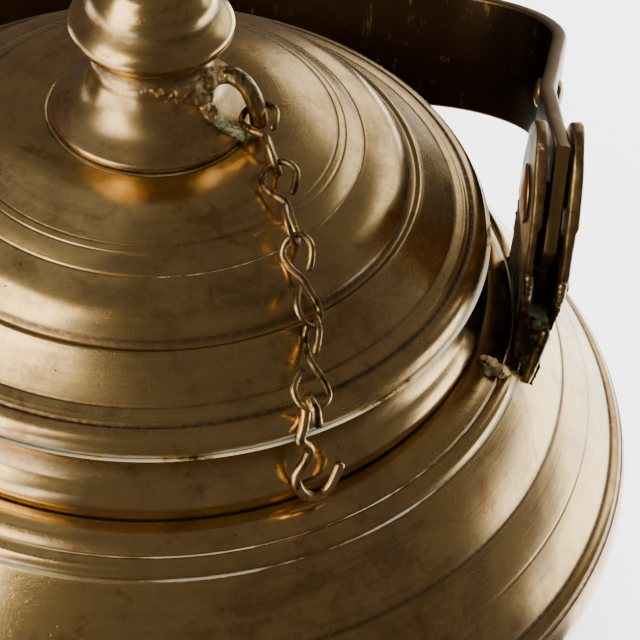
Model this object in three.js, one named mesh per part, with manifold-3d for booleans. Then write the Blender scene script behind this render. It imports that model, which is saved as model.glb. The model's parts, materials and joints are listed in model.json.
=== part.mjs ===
// Brass tea kettle: a banded body with a swan-neck spout, a lift-off lid that
// carries its own chain and hook, and a strap bail that swings on two riveted ears.
// Millimetres, +Z up. The origin is the centre of the flat base, +X points at the
// right ear, and the spout leaves towards -X, in line with the ears.
import * as THREE from "three";
import { mergeVertices } from "three/addons/utils/BufferGeometryUtils.js";
import Module from "manifold-3d";

const wasm = await Module();
wasm.setup();

// Clearances and the fineness of curves
const fit_gap = 0.3; // between pieces that touch
const cut_overrun = 5; // how far a cutting body runs past what it cuts
const merge_distance = 0.001; // corners nearer than this are one corner
const round_segments = 36;
const knob_segments = 20;
const small_segments = 16;
const rivet_segments = 12;
const plate_segments = 10;
const wire_sides = 6;
const arc_steps = 3; // to each arc of a moulding
const bowl_steps = 12;
const spout_steps = 14;
const eye_steps = 9;
const link_steps = 23;
const hook_steps = 27;
const bend_step_degrees = 9;
const search_passes = 40;
const straight_bulge_share = 0.03; // an arc flatter than this is drawn as one line

// Body
const belly_radius = 123.5;
const seam_height = 75.5; // where the shoulder meets the bowl
const collar_foot_height = 121;
const shoulder_wall = 2.4;
const bowl_wall = 2.2;
const base_share = 0.5425; // of the belly's radius
const base_thickness = 3.2;
const base_chamfer = 1.6;
const collar_height = 18.8;
const collar_share = 0.652; // of the belly's radius
const collar_wall = 4.5;

// Lid
const lid_overhang = 0.2; // past the collar
const lid_rise = 31.1; // from the rim to the seat of the knob
const lid_wall = 1.8;
const skirt_depth = 12;
const skirt_wall = 1.6;
const skirt_clearance = 0.6;

// Knob
const knob_height = 50;
const knob_ring_radius = 18.9;
const stud_radius = 4;
const stud_reach = 14; // how far the stud goes up into the knob
const stud_head_radius = 7;
const stud_head_height = 3;
const washer_radius = 12;
const washer_thickness = 1.6;

// Ears
const ear_stand_off = 8; // from the collar to the inner plate
const ear_plate_thickness = 3;
const ear_plate_width = 34.6;
const ear_plate_rise = 33.2; // from the foot to the crown of a plate
const ear_slot = 5.4; // clear width between the plates
const foot_rise = 18; // from the collar's foot up to the top of an ear's foot
const pivot_rise = 13.8; // from the top of the foot up to the pin
const foot_length = 42;
const foot_flange_drop = 23; // from the top of the foot down to its flange
const foot_lean_degrees = 11; // how far the foot leans in towards the collar as it goes down
const foot_slot_clearance = 6; // under the corners of the swinging bail
const pin_radius = 3;
const pin_head_radius = 7.2;
const pin_head_height = 1.1;
const dome_fullness_share = 0.9; // of a head's radius, where its side turns into its crown

// Bail
const bail_width = 32.9;
const bail_thickness = 3.9;
const bail_end_length = 12; // from the pivot to the square end
const bail_straight = 31; // from the pivot to where the leg starts to lean out
const bail_lean_degrees = 8.5;
const bail_lean_run = 43;
const bail_bend_radius = 20;
const bail_corner_radius = 32.8;
const bail_top_radius = 432;
const bail_rest_gap = 1.23; // from the lower edge of the fallen bail down to the shoulder
const bail_edge_round = 0.5;
const bail_end_cut = 6.5; // the lower corner taken off each end
const bail_rivet_radius = 2;
const bail_rivet_head_radius = 3.8;
const bail_rivet_head_height = 1.5;
const bail_rivet_across = 8.5; // from the middle of the strap towards its upper edge
const bail_rivet_run_share = 0.42; // how far along the leaning run the rivet sits

// Spout
const spout_root_radius = 19;
const spout_tip_radius = 8.6;
const spout_wall = 1.9;
const spout_root_drop = 15.5; // from the seam down to the middle of the root
const spout_tip_rise = 30; // from the collar's foot up to the middle of the tip
const spout_run = 75.5; // from the belly out to the middle of the tip
const spout_inset = 12; // how far inside the belly the spout's path starts
const spout_back_reach = 25; // how much further in the blanks at its root reach
const spout_taper_power = 1.35; // above 1, the root narrows faster than the tip
const spout_lip_share = 0.965; // along the path, where the turned lip takes over
const spout_root_share = 0.5; // along the path, how far the tools that work the root reach
const spout_flange_width = 7;
const spout_flange_thickness = 1.8;
const lip_height = 4.2;
const lip_flare = 1.9;

// Chain, its eye on the lid and its hook
const eye_wire_radius = 2.1;
const eye_turn_degrees = -14;
const eye_hang_share = 0.86; // along the eye, where the first link hangs
const link_wire_radius = 0.7;
const link_share = 0.2527; // a link's length between its two end bends, of the lid's radius
const link_width = 8; // between the middles of the two sides
const chain_lay = 4.5; // from the lid up to the middle of the chain
const hook_wire_radius = 1.05;
const hook_length = 24;
const hook_width = 11;
const hook_eye_radius = 2.6;
const hook_lean_degrees = 11;
const chain_turns_degrees = [-37, -48.5, -54, -60.3]; // where each link ends, round the kettle's axis
const link_rolls_degrees = [57, 50, 66, 94]; // how far each upper loop stands up off the lid

// Outlines, as shares of a radius and of a height, from the inside out and from the top down.
// The third share is the rise of the arc that leads to the point, over its chord.
const shoulder_line_shares = [
  [0.652, 1, 0],
  [0.7215, 0.931, 0.12],
  [0.7532, 0.854, 0.18],
  [0.8405, 0.511, 0.02],
  [0.9615, 0.066, 0.02],
  [0.9898, 0, 0.12],
];
const bowl_line_shares = [
  [0.9898, 1],
  [1, 0.895],
  [0.97, 0.695],
  [0.899, 0.483],
  [0.788, 0.282],
  [0.66, 0.108],
  [0.54, 0],
];
const collar_line_shares = [
  [1.002, 1, 0],
  [0.977, 0.79, -0.1],
  [0.984, 0.5, -0.06],
  [1, 0, 0.17],
];
const lid_line_shares = [
  [0.292, 1, 0],
  [0.537, 0.87, 0.05],
  [0.612, 0.761, 0.04],
  [0.758, 0.502, 0.12],
  [0.768, 0.455, 0],
  [0.8, 0.433, 0.22],
  [0.894, 0.213, -0.02],
  [0.947, 0.168, 0.03],
  [1, 0, 0.2],
];
const knob_line_shares = [
  [0, 1, 0],
  [0.335, 0.765, 0.4],
  [0.42, 0.7, -0.12],
  [0.757, 0.535, 0.16],
  [0.71, 0.264, 0.36],
  [0.7, 0.22, 0.4],
  [1.24, 0.026, -0.2],
  [1.24, 0, 0],
];
const stud_head_line_shares = [
  [0.7, 0],
  [1, 0.6],
  [1, 1],
];

// The middle line of the spout, as shares of its reach from the root and of its rise.
const spout_path_shares = [
  [0, 0],
  [0.69, 0],
  [0.42, 0.77],
  [1, 1],
];

// The turned lip, as shares of its flare and of its height, outside and inside.
const lip_outer_shares = [
  [0, 0],
  [1, 0.45],
  [1, 0.8],
  [0.5, 1],
];
const lip_inner_shares = [
  [0.4, 1],
  [0, 0],
];

// The eye, as shares of the knob's radius and height: it springs from the stem of the knob
// and bends down to the lid.
const eye_line_shares = [
  [0.9, 0.272],
  [1.12, 0.31],
  [1.34, 0.2],
  [1.37, 0.02],
];

// One loop of a link, as shares of half its length and half its width, from the crossing.
const loop_shares = [
  [0.13, 0.42],
  [0.36, 0.82],
  [0.66, 1],
  [0.92, 0.62],
  [1, 0],
  [0.92, -0.62],
  [0.66, -1],
  [0.34, -0.66],
];

// The hook. Its eye is in shares of the eye's radius along, the width across and the eye's
// radius up; its shank and crook are in shares of the length, the width and the eye's radius.
const hook_eye_shares = [
  [2.15, 0.08, 0.62],
  [1.35, 0, 1],
  [0.4, 0, 0.8],
  [0, 0, 0],
  [0.4, 0, -0.8],
  [1.45, 0, -0.95],
];
const hook_shank_shares = [
  [0.2, -0.14, -0.35],
  [0.31, -0.26, 0],
  [0.44, -0.08, 0],
  [0.56, -0.18, 0],
  [0.7, -0.4, 0],
  [0.88, -0.3, 0],
  [1, 0, 0],
  [0.95, 0.3, 0],
  [0.8, 0.5, 0],
  [0.7, 0.6, 0],
];

const colours = {
  brass: 0x8f6f3c,
  pale_brass: 0xb0925c,
  dark_brass: 0x5f4a2c,
  verdigris: 0x6f7d62,
};

// Helpers

function brass(name, geometry, colour = colours.brass, roughness = 0.38) {
  const material = new THREE.MeshStandardMaterial({ color: colour, roughness, metalness: 0.95 });
  const mesh = new THREE.Mesh(geometry, material);
  mesh.name = name;
  return mesh;
}

// Points along a moulded outline written in shares, with every arc divided into steps.
function moulding(line_shares, radius, height, base) {
  const corners = line_shares.map(
    ([across_share, up_share]) => new THREE.Vector2(across_share * radius, base + up_share * height),
  );
  const points = [corners[0]];
  for (let i = 1; i < corners.length; i += 1) {
    const bulge_share = line_shares[i][2];
    const chord = corners[i].clone().sub(corners[i - 1]);
    const outward = new THREE.Vector2(-chord.y, chord.x);
    const steps = Math.abs(bulge_share) < straight_bulge_share ? 1 : arc_steps;
    for (let step = 1; step <= steps; step += 1) {
      const along_share = step / steps;
      const point = corners[i - 1].clone().addScaledVector(chord, along_share);
      points.push(point.addScaledVector(outward, bulge_share * Math.sin(Math.PI * along_share)));
    }
  }
  return points;
}

// The same line moved sideways: a positive distance moves it inwards.
function offsetLine(points, distance) {
  return points.map((point, i) => {
    const before = points[Math.max(i - 1, 0)];
    const after = points[Math.min(i + 1, points.length - 1)];
    const along = after.clone().sub(before).normalize();
    return point.clone().add(new THREE.Vector2(along.y, -along.x).multiplyScalar(distance));
  });
}

// A solid of revolution about Z. The outline is closed, or starts and ends on the axis.
function revolve(outline, segments = round_segments) {
  const area = THREE.ShapeUtils.area(outline);
  const points = area > 0 ? [...outline] : [...outline].reverse();
  if (points[0].x > 0 || points.at(-1).x > 0) points.push(points[0].clone());
  return new THREE.LatheGeometry(points, segments).rotateX(Math.PI / 2);
}

// A turned shell: an outer line with a wall of even thickness inside it. The end at the
// seam, first or last, is cut level.
function shellOutline(outer, wall, seam_end) {
  const inner = offsetLine(outer, wall);
  inner.at(seam_end).y = outer.at(seam_end).y;
  return [...outer, ...inner.reverse()];
}

function toManifold(geometry) {
  const bare = geometry.index ? geometry.toNonIndexed() : geometry.clone();
  bare.deleteAttribute("normal");
  bare.deleteAttribute("uv");
  const merged = mergeVertices(bare, merge_distance);
  const corners = merged.index.array;
  const kept = [];
  for (let i = 0; i < corners.length; i += 3) {
    const [a, b, c] = corners.subarray(i, i + 3);
    if (a !== b && b !== c && a !== c) kept.push(a, b, c);
  }
  const mesh = new wasm.Mesh({
    numProp: 3,
    vertProperties: merged.attributes.position.array,
    triVerts: new Uint32Array(kept),
  });
  return new wasm.Manifold(mesh);
}

function toGeometry(solid) {
  const mesh = solid.getMesh();
  const geometry = new THREE.BufferGeometry();
  geometry.setAttribute("position", new THREE.BufferAttribute(mesh.vertProperties, mesh.numProp));
  geometry.setIndex(new THREE.BufferAttribute(mesh.triVerts, 1));
  const faceted = geometry.toNonIndexed();
  faceted.computeVertexNormals();
  return faceted;
}

// One geometry cut by others.
function cut(geometry, ...tools) {
  const solid = tools.reduce((left, tool) => left.subtract(toManifold(tool)), toManifold(geometry));
  return toGeometry(solid);
}

// A round wire along a curve.
function wire(curve, radius, steps) {
  const section = [];
  for (let i = 0; i < wire_sides; i += 1) {
    const angle = (i / wire_sides) * Math.PI * 2;
    section.push(new THREE.Vector2(radius * Math.cos(angle), radius * Math.sin(angle)));
  }
  return new THREE.ExtrudeGeometry(new THREE.Shape(section), {
    steps,
    bevelEnabled: false,
    extrudePath: curve,
  });
}

// An outline in the YZ plane, given thickness along +X from x = 0.
function plateAcrossX(shape, thickness, edge) {
  const geometry = new THREE.ExtrudeGeometry(shape, {
    depth: thickness - edge * 2,
    bevelEnabled: edge > 0,
    bevelThickness: edge,
    bevelSize: edge,
    bevelOffset: -edge,
    bevelSegments: 1,
    curveSegments: plate_segments,
  });
  const turn = new THREE.Matrix4().makeBasis(
    new THREE.Vector3(0, 1, 0),
    new THREE.Vector3(0, 0, 1),
    new THREE.Vector3(1, 0, 0),
  );
  return geometry.translate(0, 0, edge).applyMatrix4(turn);
}

function roundHole(x, y, radius) {
  return new THREE.Path().absarc(x, y, radius, 0, Math.PI * 2, true);
}

// A rod along +X, from x = 0.
function rodAcrossX(radius, length, segments = small_segments) {
  const rod = new THREE.CylinderGeometry(radius, radius, length, segments);
  return rod.rotateZ(-Math.PI / 2).translate(length / 2, 0, 0);
}

// Places shared by several pieces

const base_radius = belly_radius * base_share;
const collar_radius = belly_radius * collar_share;
const mouth_radius = collar_radius - collar_wall;
const lid_radius = collar_radius + lid_overhang;
const bowl_foot_height = base_thickness + fit_gap;
const rim_height = collar_foot_height + fit_gap + collar_height + fit_gap; // underside of the lid's rim
const knob_seat_height = rim_height + lid_rise + fit_gap;
const foot_top_height = collar_foot_height + foot_rise;
const pivot_height = foot_top_height + pivot_rise;
const ear_inner_face = collar_radius + ear_stand_off;
const ear_slot_face = ear_inner_face + ear_plate_thickness;
const ear_outer_plate_face = ear_slot_face + ear_slot;
const ear_outer_face = ear_outer_plate_face + ear_plate_thickness;
const bail_leg_middle = ear_slot_face + ear_slot / 2;
const pivot = new THREE.Vector3(0, 0, pivot_height);

const shoulder_line = [
  new THREE.Vector2(mouth_radius, collar_foot_height),
  ...moulding(shoulder_line_shares, belly_radius, collar_foot_height - seam_height, seam_height),
];
const bowl_height = seam_height - fit_gap - bowl_foot_height;
const bowl_line = new THREE.SplineCurve(
  bowl_line_shares.map(
    ([across_share, up_share]) =>
      new THREE.Vector2(across_share * belly_radius, bowl_foot_height + up_share * bowl_height),
  ),
).getPoints(bowl_steps);
const link_length = lid_radius * link_share;
const lid_line = moulding(lid_line_shares, lid_radius, lid_rise, rim_height);

// The underside of the lid follows its top at the ends of the mouldings only.
const lid_under_line = offsetLine(
  lid_line_shares.map(
    ([across_share, up_share]) =>
      new THREE.Vector2(across_share * lid_radius, rim_height + up_share * lid_rise),
  ),
  lid_wall,
).filter((point) => point.x < mouth_radius);
lid_under_line.push(new THREE.Vector2(mouth_radius, lid_under_line.at(-1).y));

// The whole outer form of the body, grown by a distance, for cutting what stands on it.
function bodyForm(growth) {
  const outer = offsetLine([...shoulder_line, ...bowl_line], -growth);
  const top = new THREE.Vector2(0, outer[0].y);
  const bottom = new THREE.Vector2(0, outer.at(-1).y);
  return revolve([top, ...outer, bottom]);
}

// Body

function basePlate() {
  return revolve([
    new THREE.Vector2(0, 0),
    new THREE.Vector2(base_radius - base_chamfer, 0),
    new THREE.Vector2(base_radius, base_chamfer),
    new THREE.Vector2(base_radius, base_thickness),
    new THREE.Vector2(0, base_thickness),
  ]);
}

function bodyLower(passage) {
  return cut(revolve(shellOutline(bowl_line, bowl_wall, 0)), passage);
}

function bodyUpper() {
  return revolve(shellOutline(shoulder_line, shoulder_wall, -1));
}

function mouthCollar() {
  const foot = collar_foot_height + fit_gap;
  const outer = moulding(collar_line_shares, collar_radius, collar_height, foot);
  const inner_foot = new THREE.Vector2(mouth_radius, foot);
  const inner_top = new THREE.Vector2(mouth_radius, foot + collar_height);
  return revolve([...outer, inner_foot, inner_top]);
}

// Spout

const spout_root_height = seam_height - spout_root_drop;
const spout_tip_height = collar_foot_height + spout_tip_rise;
const spout_points = spout_path_shares.map(
  ([run_share, rise_share]) =>
    new THREE.Vector3(
      -(belly_radius - spout_inset + run_share * (spout_inset + spout_run)),
      0,
      spout_root_height + rise_share * (spout_tip_height - spout_root_height),
    ),
);
const spout_path = new THREE.CubicBezierCurve3(...spout_points);

// Rings of points round the spout's path, as wide as the radius that shrinks along it.
function spoutRings(trim, to_share) {
  const rings = [];
  for (let step = 0; step <= spout_steps; step += 1) {
    const along_share = (to_share * step) / spout_steps;
    const centre = spout_path.getPointAt(along_share);
    const along = spout_path.getTangentAt(along_share);
    const side = new THREE.Vector3(0, 1, 0);
    const up = new THREE.Vector3().crossVectors(along, side);
    const taper_share = (1 - along_share) ** spout_taper_power;
    const radius = spout_tip_radius + (spout_root_radius - spout_tip_radius) * taper_share - trim;
    const ring = [];
    for (let i = 0; i < small_segments; i += 1) {
      const angle = (i / small_segments) * Math.PI * 2;
      const point = centre.clone().addScaledVector(side, radius * Math.cos(angle));
      ring.push(point.addScaledVector(up, radius * Math.sin(angle)));
    }
    rings.push(ring);
  }
  rings.unshift(rings[0].map((point) => point.clone().setX(point.x + spout_back_reach)));
  return rings;
}

// A closed skin over rings of equal count. The last ring joins the first, or flat ends close it.
function loft(rings, joined) {
  const count = rings[0].length;
  const corners = [];
  const spans = joined ? rings.length : rings.length - 1;
  for (let r = 0; r < spans; r += 1) {
    const lower = rings[r];
    const upper = rings[(r + 1) % rings.length];
    for (let i = 0; i < count; i += 1) {
      const next = (i + 1) % count;
      corners.push(lower[i], lower[next], upper[next], lower[i], upper[next], upper[i]);
    }
  }
  if (!joined) {
    for (let i = 1; i < count - 1; i += 1) {
      const first = rings[0];
      const last = rings.at(-1);
      corners.push(first[0], first[i + 1], first[i], last[0], last[i], last[i + 1]);
    }
  }
  const geometry = new THREE.BufferGeometry().setFromPoints(corners);
  geometry.computeVertexNormals();
  return geometry;
}

// The way from the belly into the spout, cut through the bowl.
function spoutPassage() {
  return loft(spoutRings(spout_wall + fit_gap, spout_root_share), false).translate(cut_overrun, 0, 0);
}

function spout() {
  const outer = spoutRings(0, spout_lip_share);
  const inner = spoutRings(spout_wall, spout_lip_share);
  const tube = loft([...outer, ...inner.reverse()], true);
  return cut(tube, bodyForm(fit_gap));
}

// A saddle round the root of the spout: a band of the body's own form between two lofts.
function spoutFlange() {
  const outside = loft(spoutRings(-spout_flange_width, spout_root_share), false);
  const inside = loft(spoutRings(-fit_gap, spout_lip_share), false);
  const skin = toManifold(bodyForm(fit_gap + spout_flange_thickness)).subtract(
    toManifold(bodyForm(fit_gap)),
  );
  return toGeometry(toManifold(outside).intersect(skin).subtract(toManifold(inside)));
}

function spoutLip() {
  const bore = spout_tip_radius - spout_wall;
  const flared = (radius, line_shares) =>
    line_shares.map(
      ([flare_share, up_share]) =>
        new THREE.Vector2(radius + flare_share * lip_flare, up_share * lip_height),
    );
  const outline = [...flared(spout_tip_radius, lip_outer_shares), ...flared(bore, lip_inner_shares)];
  const end = spout_path.getPointAt(spout_lip_share);
  const along = spout_path.getTangentAt(spout_lip_share);
  const turn = new THREE.Quaternion().setFromUnitVectors(new THREE.Vector3(0, 0, 1), along);
  const place = end.addScaledVector(along, fit_gap);
  return revolve(outline, small_segments)
    .applyQuaternion(turn)
    .translate(place.x, place.y, place.z);
}

// Lid

function lidDome() {
  const hole = stud_radius + fit_gap;
  const top_hole = new THREE.Vector2(hole, lid_line[0].y);
  const under = [...lid_under_line].reverse();
  const rim_inside = new THREE.Vector2(mouth_radius, rim_height);
  const under_hole = new THREE.Vector2(hole, under.at(-1).y);
  return revolve([top_hole, ...lid_line, rim_inside, ...under, under_hole]);
}

function lidSkirt() {
  const outside = mouth_radius - skirt_clearance;
  const inside = outside - skirt_wall;
  const top = lid_under_line.at(-1).y - fit_gap;
  const bottom = rim_height - skirt_depth;
  return revolve([
    new THREE.Vector2(inside, bottom),
    new THREE.Vector2(outside, bottom),
    new THREE.Vector2(outside, top),
    new THREE.Vector2(inside, top),
  ]);
}

function knob() {
  const outer = moulding(knob_line_shares, knob_ring_radius, knob_height, knob_seat_height);
  const bore = stud_radius + fit_gap;
  const bore_top = knob_seat_height + stud_reach + fit_gap;
  const bore_line = [
    new THREE.Vector2(bore, knob_seat_height),
    new THREE.Vector2(bore, bore_top),
    new THREE.Vector2(0, bore_top),
  ];
  return revolve([...outer, ...bore_line], knob_segments);
}

const lid_under_height = rim_height + lid_rise - lid_wall;
const washer_top_height = lid_under_height - fit_gap;
const stud_head_top = washer_top_height - washer_thickness - fit_gap;

function knobStud() {
  const foot = stud_head_top - stud_head_height;
  const head = stud_head_line_shares.map(
    ([across_share, up_share]) =>
      new THREE.Vector2(across_share * stud_head_radius, foot + up_share * stud_head_height),
  );
  const shank = [
    new THREE.Vector2(stud_radius, stud_head_top),
    new THREE.Vector2(stud_radius, knob_seat_height + stud_reach),
    new THREE.Vector2(0, knob_seat_height + stud_reach),
  ];
  return revolve([new THREE.Vector2(0, foot), ...head, ...shank], small_segments);
}

function knobWasher() {
  const hole = stud_radius + fit_gap;
  return revolve(
    [
      new THREE.Vector2(hole, washer_top_height - washer_thickness),
      new THREE.Vector2(washer_radius, washer_top_height - washer_thickness),
      new THREE.Vector2(washer_radius, washer_top_height),
      new THREE.Vector2(hole, washer_top_height),
    ],
    small_segments,
  );
}

// Ears

// A tongue-shaped plate: half an ellipse that stands on the foot.
function earPlate(inner_face) {
  const bottom = foot_top_height + fit_gap;
  const shape = new THREE.Shape();
  shape.absellipse(0, bottom, ear_plate_width / 2, ear_plate_rise, 0, Math.PI);
  shape.holes.push(roundHole(0, pivot_height, pin_radius + fit_gap));
  return plateAcrossX(shape, ear_plate_thickness, 0).translate(inner_face, 0, 0);
}

function earFoot() {
  const half_top = ear_plate_width / 2;
  const half_foot = foot_length / 2;
  const bottom = seam_height - foot_top_height;
  const shape = new THREE.Shape();
  shape.moveTo(-half_foot, bottom);
  shape.lineTo(half_foot, bottom);
  shape.lineTo(half_foot, -foot_flange_drop);
  shape.quadraticCurveTo(half_top, -foot_flange_drop, half_top, 0);
  shape.lineTo(-half_top, 0);
  shape.quadraticCurveTo(-half_top, -foot_flange_drop, -half_foot, -foot_flange_drop);
  const lean = Math.tan(THREE.MathUtils.degToRad(foot_lean_degrees));
  const blank = plateAcrossX(shape, ear_outer_face - ear_inner_face, 0)
    .applyMatrix4(new THREE.Matrix4().makeShear(0, 0, 0, 0, lean, 0))
    .translate(ear_inner_face, 0, foot_top_height);
  const bail_corner_reach = Math.hypot(bail_end_length, bail_width / 2);
  const slot_floor = pivot_height - bail_corner_reach - foot_slot_clearance;
  const slot_depth = foot_top_height - slot_floor;
  const slot = new THREE.BoxGeometry(ear_slot, foot_length + cut_overrun, slot_depth * 2);
  slot.translate(bail_leg_middle, 0, foot_top_height);
  return cut(blank, slot, bodyForm(fit_gap));
}

// The outline of a domed head, from its rim to its crown.
function domedHead(radius, height) {
  const dome = new THREE.Path();
  dome.moveTo(radius, 0);
  dome.quadraticCurveTo(radius * dome_fullness_share, height, 0, height);
  return dome.getPoints(arc_steps);
}

// A rivet along X: a shank with a domed head at each end, seated on two faces.
function rivet(shank_radius, head_radius, head_height, low_face, high_face) {
  const head = domedHead(head_radius, head_height);
  const low_seat = low_face - fit_gap;
  const high_seat = high_face + fit_gap;
  const outline = [
    ...head.map((point) => new THREE.Vector2(point.x, low_seat - point.y)).reverse(),
    new THREE.Vector2(shank_radius, low_seat),
    new THREE.Vector2(shank_radius, high_seat),
    ...head.map((point) => new THREE.Vector2(point.x, high_seat + point.y)),
  ];
  return revolve(outline, rivet_segments).rotateY(Math.PI / 2);
}

function earPin() {
  const pin = rivet(pin_radius, pin_head_radius, pin_head_height, ear_inner_face, ear_outer_face);
  return pin.translate(0, 0, pivot_height);
}

// Bail

// Walks a line of straight runs and bends, as a strap is bent on a former.
function bentLine(start, heading_degrees, moves) {
  const points = [start.clone()];
  let heading = THREE.MathUtils.degToRad(heading_degrees);
  for (const { run, radius, turn_degrees } of moves) {
    if (run !== undefined) {
      const step = new THREE.Vector2(Math.cos(heading), Math.sin(heading)).multiplyScalar(run);
      points.push(points.at(-1).clone().add(step));
      continue;
    }
    const turn = THREE.MathUtils.degToRad(turn_degrees);
    const steps = Math.max(2, Math.ceil(Math.abs(turn_degrees) / bend_step_degrees));
    const side = Math.sign(turn) * radius;
    const centre = points.at(-1).clone();
    centre.add(new THREE.Vector2(-Math.sin(heading), Math.cos(heading)).multiplyScalar(side));
    for (let step = 1; step <= steps; step += 1) {
      const angle = heading + (turn * step) / steps;
      const spoke = new THREE.Vector2(Math.sin(angle), -Math.cos(angle)).multiplyScalar(side);
      points.push(centre.clone().add(spoke));
    }
    heading += turn;
  }
  return points;
}

// The middle line of half the bail, from the square end up to the middle of the top,
// with x across the kettle and y up from the pivot while the bail stands upright.
function bailHalfLine() {
  const lean = THREE.MathUtils.degToRad(bail_lean_degrees);
  const bend_shift = bail_bend_radius * (1 - Math.cos(lean));
  const corner_middle =
    bail_leg_middle + bend_shift + bail_lean_run * Math.sin(lean) - bail_corner_radius * Math.cos(lean);
  const top_angle = Math.asin(corner_middle / (bail_top_radius - bail_corner_radius));
  const top_degrees = THREE.MathUtils.radToDeg(top_angle);
  return bentLine(new THREE.Vector2(bail_leg_middle, -bail_end_length), 90, [
    { run: bail_end_length + bail_straight },
    { radius: bail_bend_radius, turn_degrees: -bail_lean_degrees },
    { run: bail_lean_run },
    { radius: bail_corner_radius, turn_degrees: 90 + bail_lean_degrees - top_degrees },
    { radius: bail_top_radius, turn_degrees: top_degrees },
  ]);
}

const bail_half = bailHalfLine();

// The height of the shoulder at a radius, or nothing beyond it.
function shoulderHeight(radius) {
  const next = shoulder_line.findIndex((point) => point.x >= radius);
  if (next < 1) return -Infinity;
  const [inner, outer] = [shoulder_line[next - 1], shoulder_line[next]];
  return THREE.MathUtils.mapLinear(radius, inner.x, outer.x, inner.y, outer.y);
}

// How far the bail falls back from upright before its lower edge rests on the shoulder.
function bailRestDegrees() {
  const edges = [bail_thickness / 2, -bail_thickness / 2].flatMap((side) => offsetLine(bail_half, side));
  let high_degrees = 90;
  let low_degrees = 180;
  for (let pass = 0; pass < search_passes; pass += 1) {
    const degrees = (high_degrees + low_degrees) / 2;
    const fall = new THREE.Euler(-THREE.MathUtils.degToRad(degrees), 0, 0);
    const clear = edges.every(({ x, y }) => {
      const edge = new THREE.Vector3(x, bail_width / 2, y).applyEuler(fall).add(pivot);
      return edge.z > shoulderHeight(Math.hypot(edge.x, edge.y)) + bail_rest_gap;
    });
    if (clear) high_degrees = degrees;
    else low_degrees = degrees;
  }
  return high_degrees;
}

function bailStrap() {
  const outside = offsetLine(bail_half, bail_thickness / 2);
  const inside = offsetLine(bail_half, -bail_thickness / 2);
  const mirrored = (points) => points.map((point) => new THREE.Vector2(-point.x, point.y)).reverse().slice(1);
  const outline = [...outside, ...mirrored(outside), ...[...inside, ...mirrored(inside)].reverse()];
  const shape = new THREE.Shape(outline);
  const strap = new THREE.ExtrudeGeometry(shape, {
    depth: bail_width - bail_edge_round * 2,
    bevelEnabled: true,
    bevelThickness: bail_edge_round,
    bevelSize: bail_edge_round,
    bevelOffset: -bail_edge_round,
    bevelSegments: 1,
  });
  strap.translate(0, 0, bail_edge_round - bail_width / 2).rotateX(Math.PI / 2);
  const reach = (bail_leg_middle + bail_thickness) * 2;
  const pin_bore = rodAcrossX(pin_radius + fit_gap, reach).translate(-reach / 2, 0, 0);
  const place = bailRivetPlace();
  const rivet_reach = bail_thickness + cut_overrun;
  const rivet_bore = rodAcrossX(bail_rivet_radius + fit_gap, rivet_reach).translate(-rivet_reach / 2, 0, 0);
  const right_bore = rivet_bore.clone().rotateY(-place.lean).translate(place.x, place.y, place.z);
  const left_bore = rivet_bore.clone().rotateY(place.lean).translate(-place.x, place.y, place.z);
  const cut_side = bail_end_cut * Math.SQRT2;
  const corner_cut = new THREE.BoxGeometry(reach, cut_side, cut_side).rotateX(Math.PI / 4);
  corner_cut.translate(0, bail_width / 2, -bail_end_length);
  return cut(strap, pin_bore, right_bore, left_bore, corner_cut);
}

// Where the right rivet crosses the leaning run, in the upright bail's own frame.
function bailRivetPlace() {
  const lean = THREE.MathUtils.degToRad(bail_lean_degrees);
  const run = bail_lean_run * bail_rivet_run_share;
  const bend_end = new THREE.Vector2(
    bail_leg_middle + bail_bend_radius * (1 - Math.cos(lean)),
    bail_straight + bail_bend_radius * Math.sin(lean),
  );
  return {
    x: bend_end.x + run * Math.sin(lean),
    y: -bail_rivet_across,
    z: bend_end.y + run * Math.cos(lean),
    lean: -lean,
  };
}

function bailRivet() {
  const face = bail_thickness / 2;
  return rivet(bail_rivet_radius, bail_rivet_head_radius, bail_rivet_head_height, -face, face);
}

// Chain

// The middle of the chain's resting line over the lid, in radius and height.
const lay_line = offsetLine(lid_line, -chain_lay);

function aroundAxis(radius, height, turn_degrees) {
  const turn = THREE.MathUtils.degToRad(turn_degrees);
  return new THREE.Vector3(radius * Math.cos(turn), radius * Math.sin(turn), height);
}

// The point of the resting line, at a turn round the axis, that lies one reach from another point.
function layPoint(from, turn_degrees, reach) {
  const curve = new THREE.SplineCurve(lay_line);
  let low_share = 0;
  let high_share = 1;
  for (let pass = 0; pass < search_passes; pass += 1) {
    const middle_share = (low_share + high_share) / 2;
    const { x, y } = curve.getPoint(middle_share);
    if (aroundAxis(x, y, turn_degrees).distanceTo(from) < reach) low_share = middle_share;
    else high_share = middle_share;
  }
  const { x, y } = curve.getPoint(low_share);
  return aroundAxis(x, y, turn_degrees);
}

const eye_points = eye_line_shares.map(([across_share, up_share]) =>
  aroundAxis(
    across_share * knob_ring_radius,
    knob_seat_height + up_share * knob_height,
    eye_turn_degrees,
  ),
);
const eye_curve = new THREE.CubicBezierCurve3(...eye_points);

function chainEye() {
  return wire(eye_curve, eye_wire_radius, eye_steps);
}

// A figure of eight from one wire, its two loops square to each other. The origin is the
// middle of the bar that carries it, and +X runs along the link.
function chainLink(carrier_radius) {
  const start = -(carrier_radius + link_wire_radius + fit_gap);
  const half = link_length / 2;
  const middle = start + half;
  const side = link_width / 2;
  const upper = loop_shares.map(
    ([along_share, across_share]) =>
      new THREE.Vector3(middle - along_share * half, across_share * side, 0),
  );
  const lower = loop_shares.map(
    ([along_share, across_share]) =>
      new THREE.Vector3(middle + along_share * half, 0, across_share * side),
  );
  const points = [...upper, new THREE.Vector3(middle, 0, 0), ...lower.reverse()];
  return wire(new THREE.CatmullRomCurve3(points), link_wire_radius, link_steps);
}

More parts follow.
